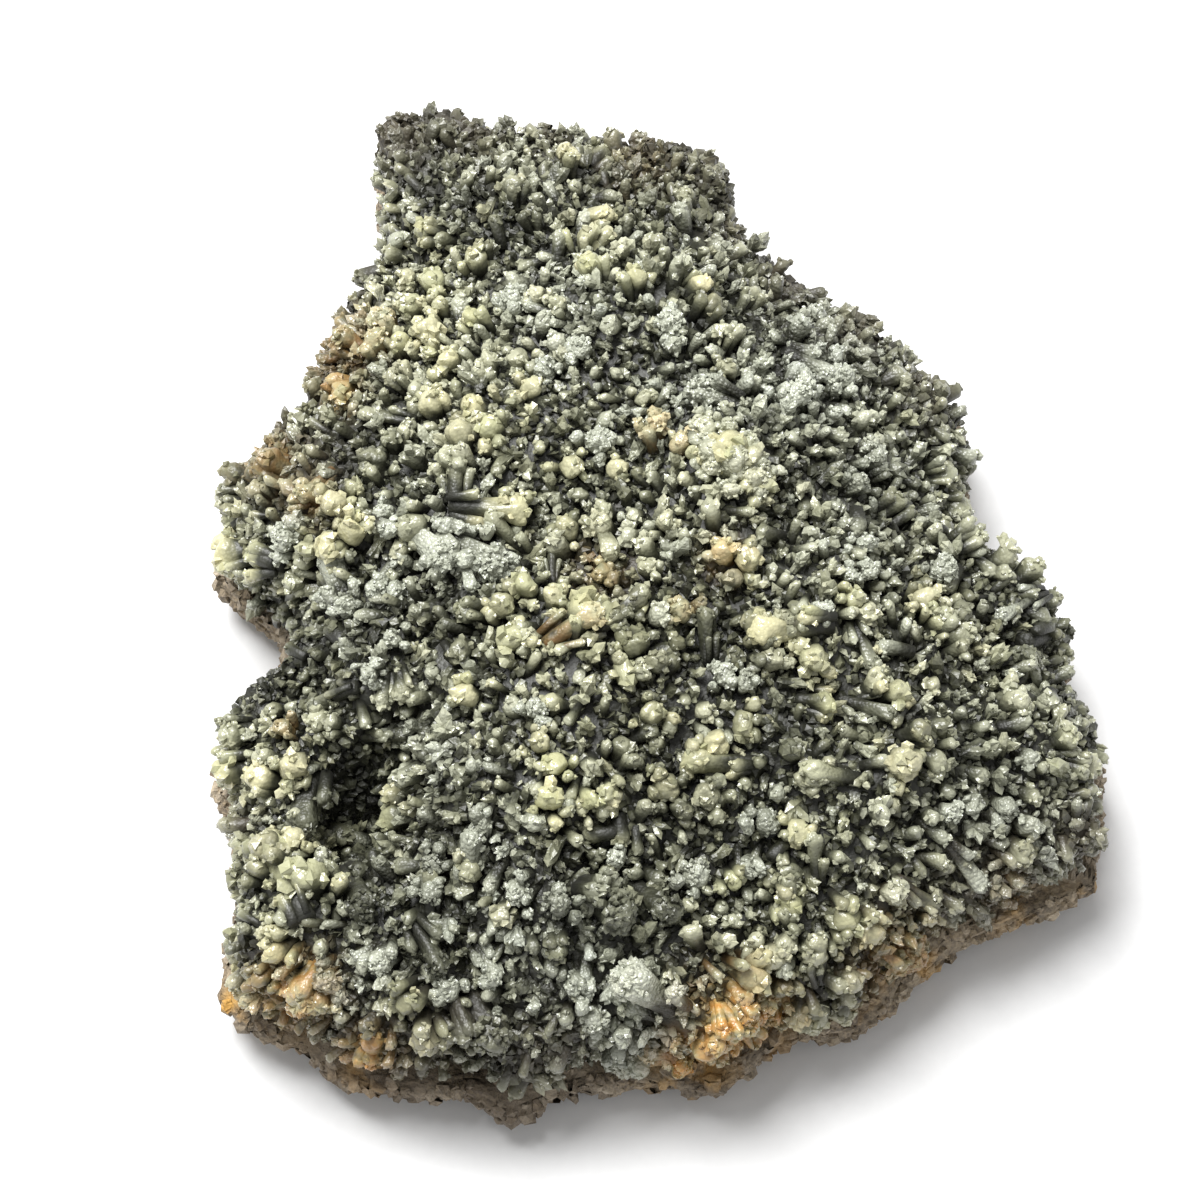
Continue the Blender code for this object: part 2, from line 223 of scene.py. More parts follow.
@dataclass
class Form:
    """The specimen's form, the same as that of its solids."""

    view: View
    seen_edge: tuple[tuple[int, int], ...] = (
        (370, 115), (430, 103), (480, 120), (545, 118), (600, 135), (640, 130), (728, 155),
        (733, 210), (745, 240), (790, 270), (830, 300), (880, 325), (930, 370), (972, 405),
        (970, 505), (982, 562), (1035, 580), (1062, 608), (1074, 650), (1070, 695),
        (1110, 755), (1110, 790), (1100, 830), (1108, 885), (1060, 905), (1025, 925),
        (960, 945), (920, 975), (885, 1010), (850, 1040), (765, 1055), (740, 1085),
        (700, 1102), (640, 1090), (575, 1100), (510, 1125), (470, 1100), (380, 1100),
        (340, 1090), (310, 1065), (265, 1050), (226, 1005), (226, 960), (235, 900),
        (225, 830), (207, 770), (218, 722), (260, 707), (290, 690), (277, 650), (270, 620),
        (238, 598), (209, 562), (214, 490), (235, 465), (278, 415), (303, 395), (312, 350),
        (350, 290), (375, 250), (380, 200), (371, 150),
    )
    back_edge: tuple[int, float] = (103, 27.0)
    front_edge: tuple[int, float] = (1125, 6.0)
    crest: float = 45.0
    fall: float = 10.0
    crust_inset: float = 4.6
    crust_girth: float = 18.0
    crust_underside: float = 7.0
    crust_squareness: float = 3.6
    broad: Swell = Swell(30.0, 5.0)
    fine: Swell = Swell(11.0, 2.2, 5.0)
    # Hollows and rises: pixels across and down, then radius and rise in millimetres.
    relief: tuple[tuple[float, float, float, float], ...] = (
        (372, 762, 7.0, -15.0), (345, 805, 8.0, -22.0), (410, 722, 5.0, -8.0),
        (292, 668, 8.0, -8.0), (588, 862, 6.5, -9.0), (505, 1035, 6.0, -8.0),
        (648, 868, 5.0, -6.0), (617, 217, 5.0, -6.0), (855, 735, 6.0, -4.0),
        (470, 720, 5.0, -4.0), (640, 500, 6.0, -3.0), (790, 520, 6.0, -4.0),
        (1035, 640, 8.0, -7.0), (262, 845, 9.0, 4.0), (430, 760, 8.0, 4.0),
        (590, 640, 10.0, 3.0), (735, 450, 8.0, 4.0), (815, 650, 7.0, 2.0),
        (450, 550, 8.0, 3.0), (640, 1045, 6.0, 3.0), (230, 545, 7.0, 3.0),
        (240, 760, 6.0, 3.0), (550, 905, 7.0, 3.0), (900, 750, 6.0, 3.0),
        (320, 520, 7.0, 3.0), (600, 330, 9.0, 3.0),
    )
    # How far below the crest the relief's pixels are read.
    relief_depth: float = 5.0
    slab_inset: float = 1.2
    slab_girth: float = 9.0
    slab_top: float = 13.0
    slab_squareness: float = 3.6
    foot_depth: float = 2.6
    parting: Swell = Swell(17.0, 1.6, 9.0)
    # Chips along the slab's edge: their length and depth, then the edge's radius and how
    # much they change from its foot to its top.
    chips: tuple[float, float] = (6.0, 1.6)
    chipped_radius: float = 40.0
    chip_layers: float = 2.0
    rim_angles: np.ndarray = field(init=False)
    rim_distances: np.ndarray = field(init=False)
    relief_in_plan: list[tuple[float, float, float, float]] = field(init=False)

    def __post_init__(self) -> None:
        """Places the edge and the relief in the plan."""
        points = []
        for across, down in self.seen_edge:
            level = float(np.interp(down, *zip(self.back_edge, self.front_edge)))
            x, y = self.view.at_level(across, down, level)
            points.append((math.atan2(y, x) % math.tau, math.hypot(x, y)))
        self.rim_angles, self.rim_distances = np.array(sorted(points)).T
        self.relief_in_plan = [
            (*self.view.at_level(across, down, self.crest - self.relief_depth), radius, rise)
            for across, down, radius, rise in self.relief
        ]

    def rim(self, angle: float) -> float:
        """The edge's distance from the middle at an angle in radians."""
        turned = angle % math.tau
        return float(np.interp(turned, self.rim_angles, self.rim_distances, period=math.tau))

    def rim_share(self, x: float, y: float) -> float:
        """How far out a point of the plan lies: 0 in the middle, 1 at the edge."""
        return min(1.0, math.hypot(x, y) / self.rim(math.atan2(y, x)))

    def within_edge(self, points: np.ndarray) -> np.ndarray:
        """Finds which points show inside the specimen's outline.

        Args:
            points: Rows of X, Y and Z in millimetres.

        Returns:
            True or false for each point.
        """
        across, down = self.view.seen(points).T
        inside = np.zeros(len(points), dtype=bool)
        corners = self.seen_edge
        for (x1, y1), (x2, y2) in zip(corners, corners[1:] + corners[:1]):
            crossed = (y1 > down) != (y2 > down)
            inside ^= crossed & (across < x1 + (down - y1) * (x2 - x1) / ((y2 - y1) or 1))
        return inside

    def crust_top(self, x: float, y: float) -> float:
        """Works out the level of the crust's top.

        Args:
            x: Millimetres to the right of the middle.
            y: Millimetres behind the middle.

        Returns:
            The level in millimetres.
        """
        level = self.crest - self.fall * self.rim_share(x, y) ** 2
        level += self.broad.at(x, y) + self.fine.at(x, y)
        for middle_x, middle_y, radius, rise in self.relief_in_plan:
            away = ((x - middle_x) ** 2 + (y - middle_y) ** 2) / radius**2
            level += rise * math.exp(-away)
        return level

    def crust_place(self, angle: float, out: float, up: float) -> Vector:
        """Places a point of the crust's body.

        Args:
            angle: The direction in the plan, in radians.
            out: How far out the point lies, from 0 to 1.
            up: How far above the girth it lies, from -1 to 1.

        Returns:
            The point in millimetres.
        """
        reach = (self.rim(angle) - self.crust_inset) * out
        x, y = reach * math.cos(angle), reach * math.sin(angle)
        rise = self.crust_top(x, y) - self.crust_girth
        if up < 0:
            rise = self.crust_girth - self.crust_underside
        return Vector((x, y, self.crust_girth + rise * up))

    def slab_place(self, angle: float, out: float, up: float) -> Vector:
        """Places a point of the matrix slab.

        Args:
            angle: The direction in the plan, in radians.
            out: How far out the point lies, from 0 to 1.
            up: How far above the girth it lies, from -1 to 1.

        Returns:
            The point in millimetres.
        """
        chips = Swell(*self.chips, shift=self.chip_layers * up)
        around = self.chipped_radius
        chipped = chips.at(around * math.cos(angle), around * math.sin(angle))
        reach = (self.rim(angle) - self.slab_inset + chipped) * out
        x, y = reach * math.cos(angle), reach * math.sin(angle)
        rise = self.slab_top + self.parting.at(x, y) - self.slab_girth
        if up < 0:
            rise = self.slab_girth + self.foot_depth
        return Vector((x, y, self.slab_girth + rise * up))

    def ball(self, fineness: int, squareness: float,
             place: Callable[[float, float, float], Vector]) -> bmesh.types.BMesh:
        """Makes a ball whose points are moved by one of the placing methods.

        Args:
            fineness: How often the ball's faces are split.
            squareness: How much squarer than a circle its section is.
            place: crust_place or slab_place.

        Returns:
            The mesh in millimetres.
        """
        bm = bmesh.new()
        bmesh.ops.create_icosphere(bm, subdivisions=fineness, radius=1.0)
        for vert in bm.verts:
            out = math.hypot(vert.co.x, vert.co.y) ** (2 / squareness)
            up = math.copysign(abs(vert.co.z) ** (2 / squareness), vert.co.z)
            vert.co = place(math.atan2(vert.co.y, vert.co.x), out, up)
        bm.normal_update()
        return bm


@dataclass
class Skin:
    """A surface of triangles, in millimetres, that crystals grow on."""

    points: np.ndarray
    faces: np.ndarray
    corners: np.ndarray = field(init=False)
    normals: np.ndarray = field(init=False)
    areas: np.ndarray = field(init=False)

    @classmethod
    def of(cls, bm: bmesh.types.BMesh) -> "Skin":
        """Reads a mesh's surface, and frees the mesh.

        Args:
            bm: The mesh in millimetres.

        Returns:
            Its surface.
        """
        points = np.array([vert.co for vert in bm.verts])
        faces = np.array([[vert.index for vert in face.verts] for face in bm.faces])
        bm.free()
        return cls(points, faces)

    def __post_init__(self) -> None:
        """Works out each triangle's corners, its normal and twice its area."""
        self.corners = self.points[self.faces]
        first, second, third = (self.corners[:, i] for i in range(3))
        crossed = np.cross(second - first, third - first)
        self.areas = np.linalg.norm(crossed, axis=1)
        self.normals = unit(crossed)

    def pick(self, rng: np.random.Generator, count: int, usable: np.ndarray) -> np.ndarray:
        """Picks triangles at random, a large one more often than a small one.

        Args:
            rng: The random numbers.
            count: How many to pick.
            usable: Which triangles may be picked.

        Returns:
            The picked triangles' numbers.
        """
        shares = self.areas * usable
        return rng.choice(len(shares), size=count, p=shares / shares.sum())


def add_node(tree: bpy.types.NodeTree, kind: str, inputs: dict[int | str, object],
             **settings: object) -> bpy.types.Node:
    """Adds a node with its settings and links.

    Args:
        tree: The material's node tree.
        kind: The node's type, less the words that every type starts with.
        inputs: Its inputs by name or number. A socket is linked, a hex colour is turned
            to linear, and anything else is set as it is.
        settings: Its own properties.

    Returns:
        The new node.
    """
    node = tree.nodes.new(f"ShaderNode{kind}")
    for name, value in settings.items():
        setattr(node, name, value)
    for key, value in inputs.items():
        if isinstance(value, bpy.types.NodeSocket):
            tree.links.new(value, node.inputs[key])
        else:
            node.inputs[key].default_value = linear(value) if isinstance(value, str) else value
    return node


Adder = Callable[..., bpy.types.Node]
Socket = bpy.types.NodeSocket


@dataclass(frozen=True)
class Coat:
    """A colour that lies over another where a pattern runs from low to high."""

    colour: Socket | str
    pattern: Socket
    low: float
    high: float
    strength: Socket | float = 1.0


@dataclass(frozen=True)
class Finish:
    """A surface's finish."""

    name: str

    def coated(self, add: Adder, base: Socket | str, coats: tuple[Coat, ...]) -> Socket:
        """Lays coats over a colour.

        Args:
            add: Adds a node to the material.
            base: The colour underneath.
            coats: What lies over it, from the bottom up.

        Returns:
            The colour that shows.
        """
        for coat in coats:
            span = {"Value": coat.pattern, "From Min": coat.low, "From Max": coat.high}
            share = add("MapRange", {**span, "To Max": coat.strength}).outputs[0]
            mixed = add("Mix", {0: share, 6: base, 7: coat.colour}, data_type="RGBA")
            base = mixed.outputs[2]
        return base

    def shading(self, add: Adder) -> dict[str, object]:
        """Adds the finish's nodes, and gives its shader's inputs by name."""
        raise NotImplementedError

    def make(self) -> bpy.types.Material:
        """Builds the material.

        Returns:
            The new material, with one shader.
        """
        material = bpy.data.materials.new(self.name)
        material.use_nodes = True
        material.node_tree.nodes.clear()
        add = functools.partial(add_node, material.node_tree)
        shader = add("BsdfPrincipled", self.shading(add))
        add("OutputMaterial", {"Surface": shader.outputs["BSDF"]})
        return material


@dataclass(frozen=True)
class PrehniteFinish(Finish):
    """Finger prehnite, grown in an open cavity.

    Its glassy to waxy crystals are cloudy and let light in. They pale from dark, thin
    roots to their ends: partly their own colour, and partly painted shade where the roots
    lie deep between the fingers. Stems are smooth and grey, ends are pale yellow-green,
    and the small faces of the sugary parts glint.
    """

    name: str = "prehnite"
    root: str = "#0D0D05"
    shade: str = "#2E2F20"
    stem: str = "#7C7D67"
    pale: str = "#B9BAA2"
    lime: str = "#C4C494"
    cream: str = "#D6CEA2"
    frost: str = "#C0C5B9"
    ochre: str = "#D0B26E"
    rust: str = "#CA8C3A"
    soil: str = "#5E5445"
    # Each grain's size in millimetres, and its detail.
    cloud: tuple[float, float] = (2.6, 2.0)
    spark: tuple[float, float] = (0.35, 1.0)
    sugar_mm: float = 0.6
    sugar_depth_mm: float = 0.3
    spark_depth_mm: float = 0.035
    # How much darker the clearest crystals are, and the cloud grain's values where the
    # crystals are clearest and where they are palest.
    clouding: float = 0.08
    cloud_span: tuple[float, float] = (0.4, 2.0)
    # How rugged the clearest crystals are, as a share of the sugary ones.
    least_rugged: float = 0.3
    # How strong the painted shade in the grooves between the sugary cells is, with a random
    # darker tone.
    uneven: float = 0.3
    root_roughness: float = 0.6
    end_roughness: float = 0.16
    ior: float = 1.63

    def shading(self, add: Adder) -> dict[str, object]:
        """Colours the crystals by the numbers that their meshes hold.

        Args:
            add: Adds a node to the material.

        Returns:
            The shader's inputs by name.
        """
        held = {name: add("Attribute", {}, attribute_name=name).outputs["Fac"] for name in TRAITS}
        place = add("TexCoord", {}).outputs["Object"]
        cloud, spark = (
            add("TexNoise", {"Vector": place, "Scale": 1 / (size_mm * MM), "Detail": detail})
            .outputs[0] for size_mm, detail in (self.cloud, self.spark)
        )
        cells = {"Vector": place, "Scale": 1 / (self.sugar_mm * MM)}
        sugar = add("TexVoronoi", cells).outputs["Distance"]
        least, most = self.cloud_span
        wave = {"Value": cloud, "From Min": least, "From Max": most}
        wave |= {"To Min": -self.clouding, "To Max": 1 - self.clouding}
        height = add(
            "Math", {0: held["rise"], 1: add("MapRange", wave).outputs[0]},
            operation="ADD", use_clamp=True,
        ).outputs[0]
        uneven = add("Math", {0: sugar, 1: held["tone"]}, operation="SUBTRACT").outputs[0]
        ripe = self.coated(add, self.lime, (Coat(self.cream, held["tone"], 0.0, 1.0),))
        iron = self.coated(add, self.ochre, (Coat(self.rust, cloud, 0.42, 0.62),))
        # Dark roots paling to the ends: partly the crystals' own colour, partly painted shade
        # deep between the fingers.
        colour = self.coated(add, self.root, (
            Coat(self.shade, height, 0.05, 0.3),
            Coat(self.stem, height, 0.25, 0.65),
            Coat(self.pale, height, 0.6, 0.95),
            Coat(ripe, height, 0.3, 0.85, held["lime"]),
            Coat(self.frost, height, 0.2, 0.8, held["frost"]),
            Coat(iron, cloud, 0.25, 0.5, held["stain"]),
            Coat(self.soil, held["soil"], 0.0, 1.0),
            # Painted shade in the grooves between the sugary cells, and a random darker tone.
            Coat(self.shade, uneven, -1.0, 0.0, self.uneven),
        ))
        rugged = add(
            "Math", {0: held["frost"], 1: self.least_rugged}, operation="ADD", use_clamp=True
        ).outputs[0]
        relief = add("Math", {0: sugar, 1: rugged}, operation="MULTIPLY").outputs[0]
        faces = add("Bump", {"Height": relief, "Distance": self.sugar_depth_mm * MM}, invert=True)
        glints = {"Height": spark, "Distance": self.spark_depth_mm * MM}
        gloss = {"Value": height, "To Min": self.root_roughness, "To Max": self.end_roughness}
        return {
            "Base Color": colour,
            "Roughness": add("MapRange", gloss).outputs[0],
            "Normal": add("Bump", {**glints, "Normal": faces.outputs[0]}).outputs[0],
            "IOR": self.ior,
        }


@dataclass(frozen=True)
class MatrixFinish(Finish):
    """Altered volcanic rock, broken with a hammer.

    It is dull and brown-grey, with a fine grain, darker pits and ochre iron stains.
    """

    name: str = "matrix_rock"
    dark: str = "#51463A"
    body: str = "#96866D"
    light: str = "#BAAD98"
    ochre: str = "#BC9148"
    # Each grain's size in millimetres, and its detail.
    grain: tuple[float, float] = (0.7, 3.0)
    patch: tuple[float, float] = (9.0, 2.0)
    stain: tuple[float, float] = (6.0, 3.0)
    pit_mm: float = 1.6
    depth_mm: float = 0.5
    # How dark the rock's darkest parts are: its own darker rock, and painted shade along its
    # edge.
    darkening: float = 0.75
    roughness: float = 0.75

    def shading(self, add: Adder) -> dict[str, object]:
        """Colours the rock by three grains, and roughens it by two.

        Args:
            add: Adds a node to the material.

        Returns:
            The shader's inputs by name.
        """
        held = {name: add("Attribute", {}, attribute_name=name).outputs["Fac"] for name in TRAITS}
        place = add("TexCoord", {}).outputs["Object"]
        grain, patch, stain = (
            add("TexNoise", {"Vector": place, "Scale": 1 / (size_mm * MM), "Detail": detail})
            .outputs[0] for size_mm, detail in (self.grain, self.patch, self.stain)
        )
        colour = self.coated(add, self.dark, (
            Coat(self.body, grain, 0.35, 0.65),
            Coat(self.light, patch, 0.35, 0.65, held["tone"]),
            # The rock's darker parts, held as soil: partly its own colour, partly painted shade.
            Coat(self.dark, held["soil"], 0.0, 1.0, self.darkening),
            Coat(self.ochre, stain, 0.45, 0.6, held["stain"]),
        ))
        pits = add("TexVoronoi", {"Vector": place, "Scale": 1 / (self.pit_mm * MM)}).outputs[0]
        depth = {"Distance": self.depth_mm * MM}
        pitted = add("Bump", {"Height": pits, **depth}).outputs[0]
        broken = add("Bump", {"Height": grain, "Normal": pitted, **depth}).outputs[0]
        return {"Base Color": colour, "Roughness": self.roughness, "Normal": broken}


@dataclass(frozen=True)
class PaperFinish(Finish):
    """Plain white drawing paper: matt, with a faint tooth."""

    name: str = "paper"
    white: str = "#DDDDDD"
    shade: str = "#D8D8D8"
    tooth_mm: float = 1.5
    roughness: float = 0.9
    glint: float = 0.1

    def shading(self, add: Adder) -> dict[str, object]:
        """Shades the paper's tooth.

        Args:
            add: Adds a node to the material.

        Returns:
            The shader's inputs by name.
        """
        place = add("TexCoord", {}).outputs["Object"]
        tooth = add("TexNoise", {"Vector": place, "Scale": 1 / (self.tooth_mm * MM)}).outputs[0]
        colour = self.coated(add, self.white, (Coat(self.shade, tooth, 0.0, 1.0),))
        return {
            "Base Color": colour, "Roughness": self.roughness, "Specular IOR Level": self.glint
        }


@dataclass
class Template:
    """A small shape that is copied many times."""

    points: np.ndarray
    faces: np.ndarray
    rise: np.ndarray


@dataclass
class Crystals:
    """Many small crystals: where each stands, its way, its size and its traits."""

    places: np.ndarray
    ways: np.ndarray
    sizes: np.ndarray
    traits: dict[str, np.ndarray]

    @classmethod
    def joined(cls, groups: list["Crystals"]) -> "Crystals":
        """Puts groups of crystals together.

        Args:
            groups: The groups, which all have the same traits.

        Returns:
            All their crystals, in the groups' order.
        """
        places, ways, sizes = (
            np.concatenate([getattr(group, name) for group in groups])
            for name in ("places", "ways", "sizes")
        )
        traits = {
            name: np.concatenate([group.traits[name] for group in groups])
            for name in groups[0].traits
        }
        return cls(places, ways, sizes, traits)


@dataclass
class Heap:
    """Copies of small shapes, gathered into one mesh."""

    name: str
    points: list[np.ndarray] = field(default_factory=list)
    faces: list[np.ndarray] = field(default_factory=list)
    traits: dict[str, list[np.ndarray]] = field(default_factory=lambda: {t: [] for t in TRAITS})
    count: int = 0

    def add(self, points: np.ndarray, faces: np.ndarray, **traits: object) -> None:
        """Adds one shape.

        Args:
            points: Rows of X, Y and Z in millimetres.
            faces: Rows of three indices.
            traits: A number, or one for each point, by name.
        """
        self.faces.append(faces + self.count)
        self.points.append(points)
        self.count += len(points)
        for trait in TRAITS:
            values = np.broadcast_to(traits.get(trait, 0.0), (len(points),))
            self.traits[trait].append(values)

    def add_copies(self, templates: list[Template], crystals: Crystals,
                   rng: np.random.Generator) -> None:
        """Adds a copy of one of the templates for each of many crystals.

        Args:
            templates: The shapes to choose from.
            crystals: Where the copies stand, and how they look.
            rng: The random numbers.
        """
        kinds = rng.integers(len(templates), size=len(crystals.places))
        sides = unit(np.cross(crystals.ways, rng.normal(size=crystals.ways.shape)))
        frames = np.stack([sides, np.cross(crystals.ways, sides), crystals.ways], axis=1)
        for kind, template in enumerate(templates):
            mine = kinds == kind
            count, size = int(mine.sum()), len(template.points)
            points = np.einsum("pk,nkj->npj", template.points, frames[mine])
            points = points * crystals.sizes[mine, None, None] + crystals.places[mine, None]
            faces = template.faces + (np.arange(count) * size)[:, None, None]
            traits = {
                name: np.repeat(values[mine], size) for name, values in crystals.traits.items()
            }
            traits["rise"] = traits["rise"] * np.tile(template.rise, count)
            self.add(points.reshape(-1, 3), faces.reshape(-1, 3), **traits)

    def make(self, material: bpy.types.Material, smooth: bool) -> bpy.types.Object:
        """Makes the object, which rides on the specimen.

        Args:
            material: Its finish.
            smooth: Whether its faces are shaded as one curved skin.

        Returns:
            The new object.
        """
        points = np.concatenate(self.points) * MM
        faces = np.concatenate(self.faces)
        mesh = bpy.data.meshes.new(self.name)
        mesh.vertices.add(len(points))
        mesh.vertices.foreach_set("co", points.astype(np.float32).ravel())
        mesh.loops.add(faces.size)
        mesh.loops.foreach_set("vertex_index", faces.astype(np.int32).ravel())
        mesh.polygons.add(len(faces))
        mesh.polygons.foreach_set("loop_start", np.arange(0, faces.size, 3, dtype=np.int32))
        mesh.polygons.foreach_set("use_smooth", np.full(len(faces), smooth))
        for trait in TRAITS:
            values = np.concatenate(self.traits[trait]).astype(np.float32)
            mesh.attributes.new(trait, "FLOAT", "POINT").data.foreach_set("value", values)
        mesh.update(calc_edges=True)
        mesh.validate()
        mesh.materials.append(material)
        obj = bpy.data.objects.new(self.name, mesh)
        bpy.context.scene.collection.objects.link(obj)
        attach(obj, BODY)
        LOG.info("%s: %d faces", self.name, len(faces))
        return obj


@dataclass(frozen=True)
class Dress:
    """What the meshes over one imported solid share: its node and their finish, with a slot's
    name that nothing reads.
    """

    node: str
    slot: str
    material: bpy.types.Material

    def wear(self, heap: Heap, smooth: bool) -> None:
        """Makes a gathered mesh, in the solid's place.

        Args:
            heap: The gathered mesh.
            smooth: Whether its faces are shaded as one curved skin.
        """
        obj = heap.make(self.material, smooth)
        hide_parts(self.node)


def turned(way: np.ndarray, spin: float) -> np.ndarray:
    """Finds the turn that stands a shape along a direction.

    Args:
        way: The unit direction that the shape's Z takes.
        spin: Its turn about that direction, in radians.

    Returns:
        A 3 by 3 matrix, for rows of points.
    """
    quaternion = Vector(way).to_track_quat("Z", "Y")
    matrix = quaternion.to_matrix() @ Matrix.Rotation(spin, 3, "Z")
    return np.array(matrix).T


@dataclass
class FingerShapes:
    """Finger crystals of unit radius: a waisted stem and a lobed end.

    Each is kept as directions and shares, so that stem and end can be drawn out apart.
    """

    rng: np.random.Generator
    around: int = 20
    levels: int = 13
    kinds: int = 10
    # Rounded lobes: their number, width and rise, the share of the rise that lies inside
    # the finger's radius, and how large they are.
    lobes: int = 14
    lobe_width: float = 0.6
    lobe_rise: float = 0.34
    lobe_middle: float = 0.6
    lobe_sizes: tuple[float, float] = (0.8, 1.15)
    # How far down they start, and how far down the stem's points look for them.
    lobe_fall: float = 0.3
    stem_turn: float = 1.2
    # Flat crystal faces cut into the lobes.
    facets: int = 14
    facet_reach: tuple[float, float] = (0.74, 0.98)
    facet_least: float = 0.5
    # How much narrower the stem gets, and how soon.
    waist: float = 0.2
    waist_speed: float = 1.6
    cap_share: float = 0.55
    directions: np.ndarray = field(init=False)
    stems: np.ndarray = field(init=False)
    faces: np.ndarray = field(init=False)
    knobs: list[np.ndarray] = field(init=False)

    def __post_init__(self) -> None:
        """Makes the points and faces, which every kind shares, and each kind's lobes."""
        rings = self.rings()
        angles = np.arange(self.around) * math.tau / self.around
        directions, stems = [(0.0, 0.0, 1.0)], [0.0]
        for reach, up, stem in rings:
            for angle in angles:
                directions.append((reach * math.cos(angle), reach * math.sin(angle), up))
                stems.append(stem)
        directions.append((0.0, 0.0, 0.0))
        stems.append(1.0)
        self.directions, self.stems = np.array(directions), np.array(stems)
        self.faces = self.skin_of(len(rings))
        self.knobs = [self.lobed() for _ in range(self.kinds)]

    def rings(self) -> list[tuple[float, float, float]]:
        """Finds the rings of points, from the end down to the root.

        Returns:
            Each ring's reach and height on the round end, and its share of the stem.
        """
        cap_levels = round(self.levels * self.cap_share)
        rings = []
        for level in range(1, self.levels):
            if level <= cap_levels:
                tilt = math.pi / 2 * level / cap_levels
                rings.append((math.sin(tilt), math.cos(tilt), 0.0))
            else:
                rings.append((1.0, 0.0, (level - cap_levels) / (self.levels - 1 - cap_levels)))
        return rings

    def skin_of(self, rings: int) -> np.ndarray:
        """Joins the rings of points, the end's point and the root's point with triangles.

        Args:
            rings: How many rings there are.

        Returns:
            Rows of three indices.
        """
        faces = []
        last = 1 + rings * self.around
        for step in range(self.around):
            after = (step + 1) % self.around
            faces.append((0, 1 + step, 1 + after))
            for ring in range(rings - 1):
                start = 1 + ring * self.around
                a, b = start + step, start + after
                c, d = a + self.around, b + self.around
                faces += [(a, c, d), (a, d, b)]
            start = 1 + (rings - 1) * self.around
            faces.append((start + step, last, start + after))
        return np.array(faces)

    def lobed(self) -> np.ndarray:
        """Works out how far each point stands out for one kind's lobes.

        Returns:
            A share of the radius for each point.
        """
        middles = self.rng.normal(size=(self.lobes, 3))
        middles[:, 2] = np.abs(middles[:, 2]) - self.lobe_fall
        middles = unit(middles)
        sizes = self.rng.uniform(*self.lobe_sizes, self.lobes)
        looks = self.directions.copy()
        looks[:, 2] -= self.stems * self.stem_turn
        looks = unit(looks)
        edge = math.cos(self.lobe_width)
        nearness = (looks @ middles.T - edge) / (1 - edge)
        bumps = np.sqrt(np.clip(nearness, 0, 1)) * sizes
        lobes = 1 - self.lobe_rise * self.lobe_middle + self.lobe_rise * bumps.max(axis=1)
        planes = unit(self.rng.normal(size=(self.facets, 3)))
        reaches = self.rng.uniform(*self.facet_reach, self.facets)
        cut = (reaches / np.maximum(looks @ planes.T, self.facet_least)).min(axis=1)
        return np.minimum(lobes, cut)

    def grown(self, kind: int, radius: float, length: float, sunk: float, flat: float,
              bend: np.ndarray) -> tuple[np.ndarray, np.ndarray]:
        """Draws one finger out.

        Args:
            kind: Which of the lobed ends it has.
            radius: The end's radius in millimetres.
            length: How far it stands out.
            sunk: How far its root goes in.
            flat: How much narrower it is one way.
            bend: How far its end is moved aside.

        Returns:
            Its points in millimetres, with Z along the finger, and their rise from 0 to 1.
        """
        lobes = self.knobs[kind]
        points = self.directions * (lobes * radius)[:, None]
        narrowed = np.clip(self.stems * self.waist_speed, 0, 1)
        squeeze = 1 - self.waist * np.sin(narrowed * math.pi / 2)
        points[:, 0] *= squeeze
        points[:, 1] *= squeeze * flat
        neck = length - radius
        points[:, 2] += neck - self.stems * (neck + sunk)
        rise = np.clip(points[:, 2] / length, 0, 1)
        points[:, :2] += rise[:, None] ** 2 * bend
        return points, rise


@dataclass(frozen=True)
class Mould:
    """A sort of small crystal: a short, uneven prism with an off-centre point.

    Its sizes are shares of its radius.
    """

    sides: int
    # Its depth as a share of its width, and how drawn out it is.
    flat: tuple[float, float] = (0.6, 1.0)
    tall: float = 1.0
    kinds: int = 16
    # How far its edges stray from even places around it, in shares of a side.
    stray: float = 0.25
    foot_level: float = -0.9
    foot_reach: tuple[float, float] = (0.7, 0.9)
    reach: tuple[float, float] = (0.85, 1.05)
    shoulder: tuple[float, float] = (0.35, 0.85)
    point_aside: float = 0.35
    point_level: tuple[float, float] = (1.0, 1.3)
    # It pales from its foot to its point: the rise halfway, its slope and its least.
    rise: float = 0.7
    rise_slope: float = 0.35
    least_rise: float = 0.4

    def faces(self) -> np.ndarray:
        """Joins the foot, the shoulders and the point. The foot stays open.

        Returns:
            Rows of three indices.
        """
        faces = []
        for step in range(self.sides):
            after = (step + 1) % self.sides
            foot, shoulder = step, self.sides + step
            faces += [(foot, after, self.sides + after), (foot, self.sides + after, shoulder)]
            faces.append((shoulder, self.sides + after, 2 * self.sides))
        return np.array(faces)

    def shape(self, rng: np.random.Generator) -> Template:
        """Makes one crystal.

        Args:
            rng: The random numbers.

        Returns:
            The crystal, of about unit radius, standing on its foot.
        """
        sides = self.sides
        strays = rng.uniform(-self.stray, self.stray, sides)
        angles = (np.arange(sides) + strays) * math.tau / sides
        around = np.stack([np.cos(angles), np.sin(angles)], 1)
        foot = around * rng.uniform(*self.foot_reach)
        foot = np.column_stack([foot, np.full(sides, self.foot_level)])
        shoulder = around * rng.uniform(*self.reach, (sides, 1))
        shoulder = np.column_stack([shoulder, rng.uniform(*self.shoulder, sides)])
        aside = rng.uniform(-self.point_aside, self.point_aside, 2)
        point = [[*aside, rng.uniform(*self.point_level)]]
        points = np.concatenate([foot, shoulder, point])
        points[:, 1] *= rng.uniform(*self.flat)
        rise = np.clip(points[:, 2] * self.rise_slope + self.rise, self.least_rise, 1)
        points[:, 2] *= self.tall
        return Template(points, self.faces(), rise)

    def cast(self, rng: np.random.Generator) -> list[Template]:
        """Makes the crystals that copies are chosen from."""
        return [self.shape(rng) for _ in range(self.kinds)]


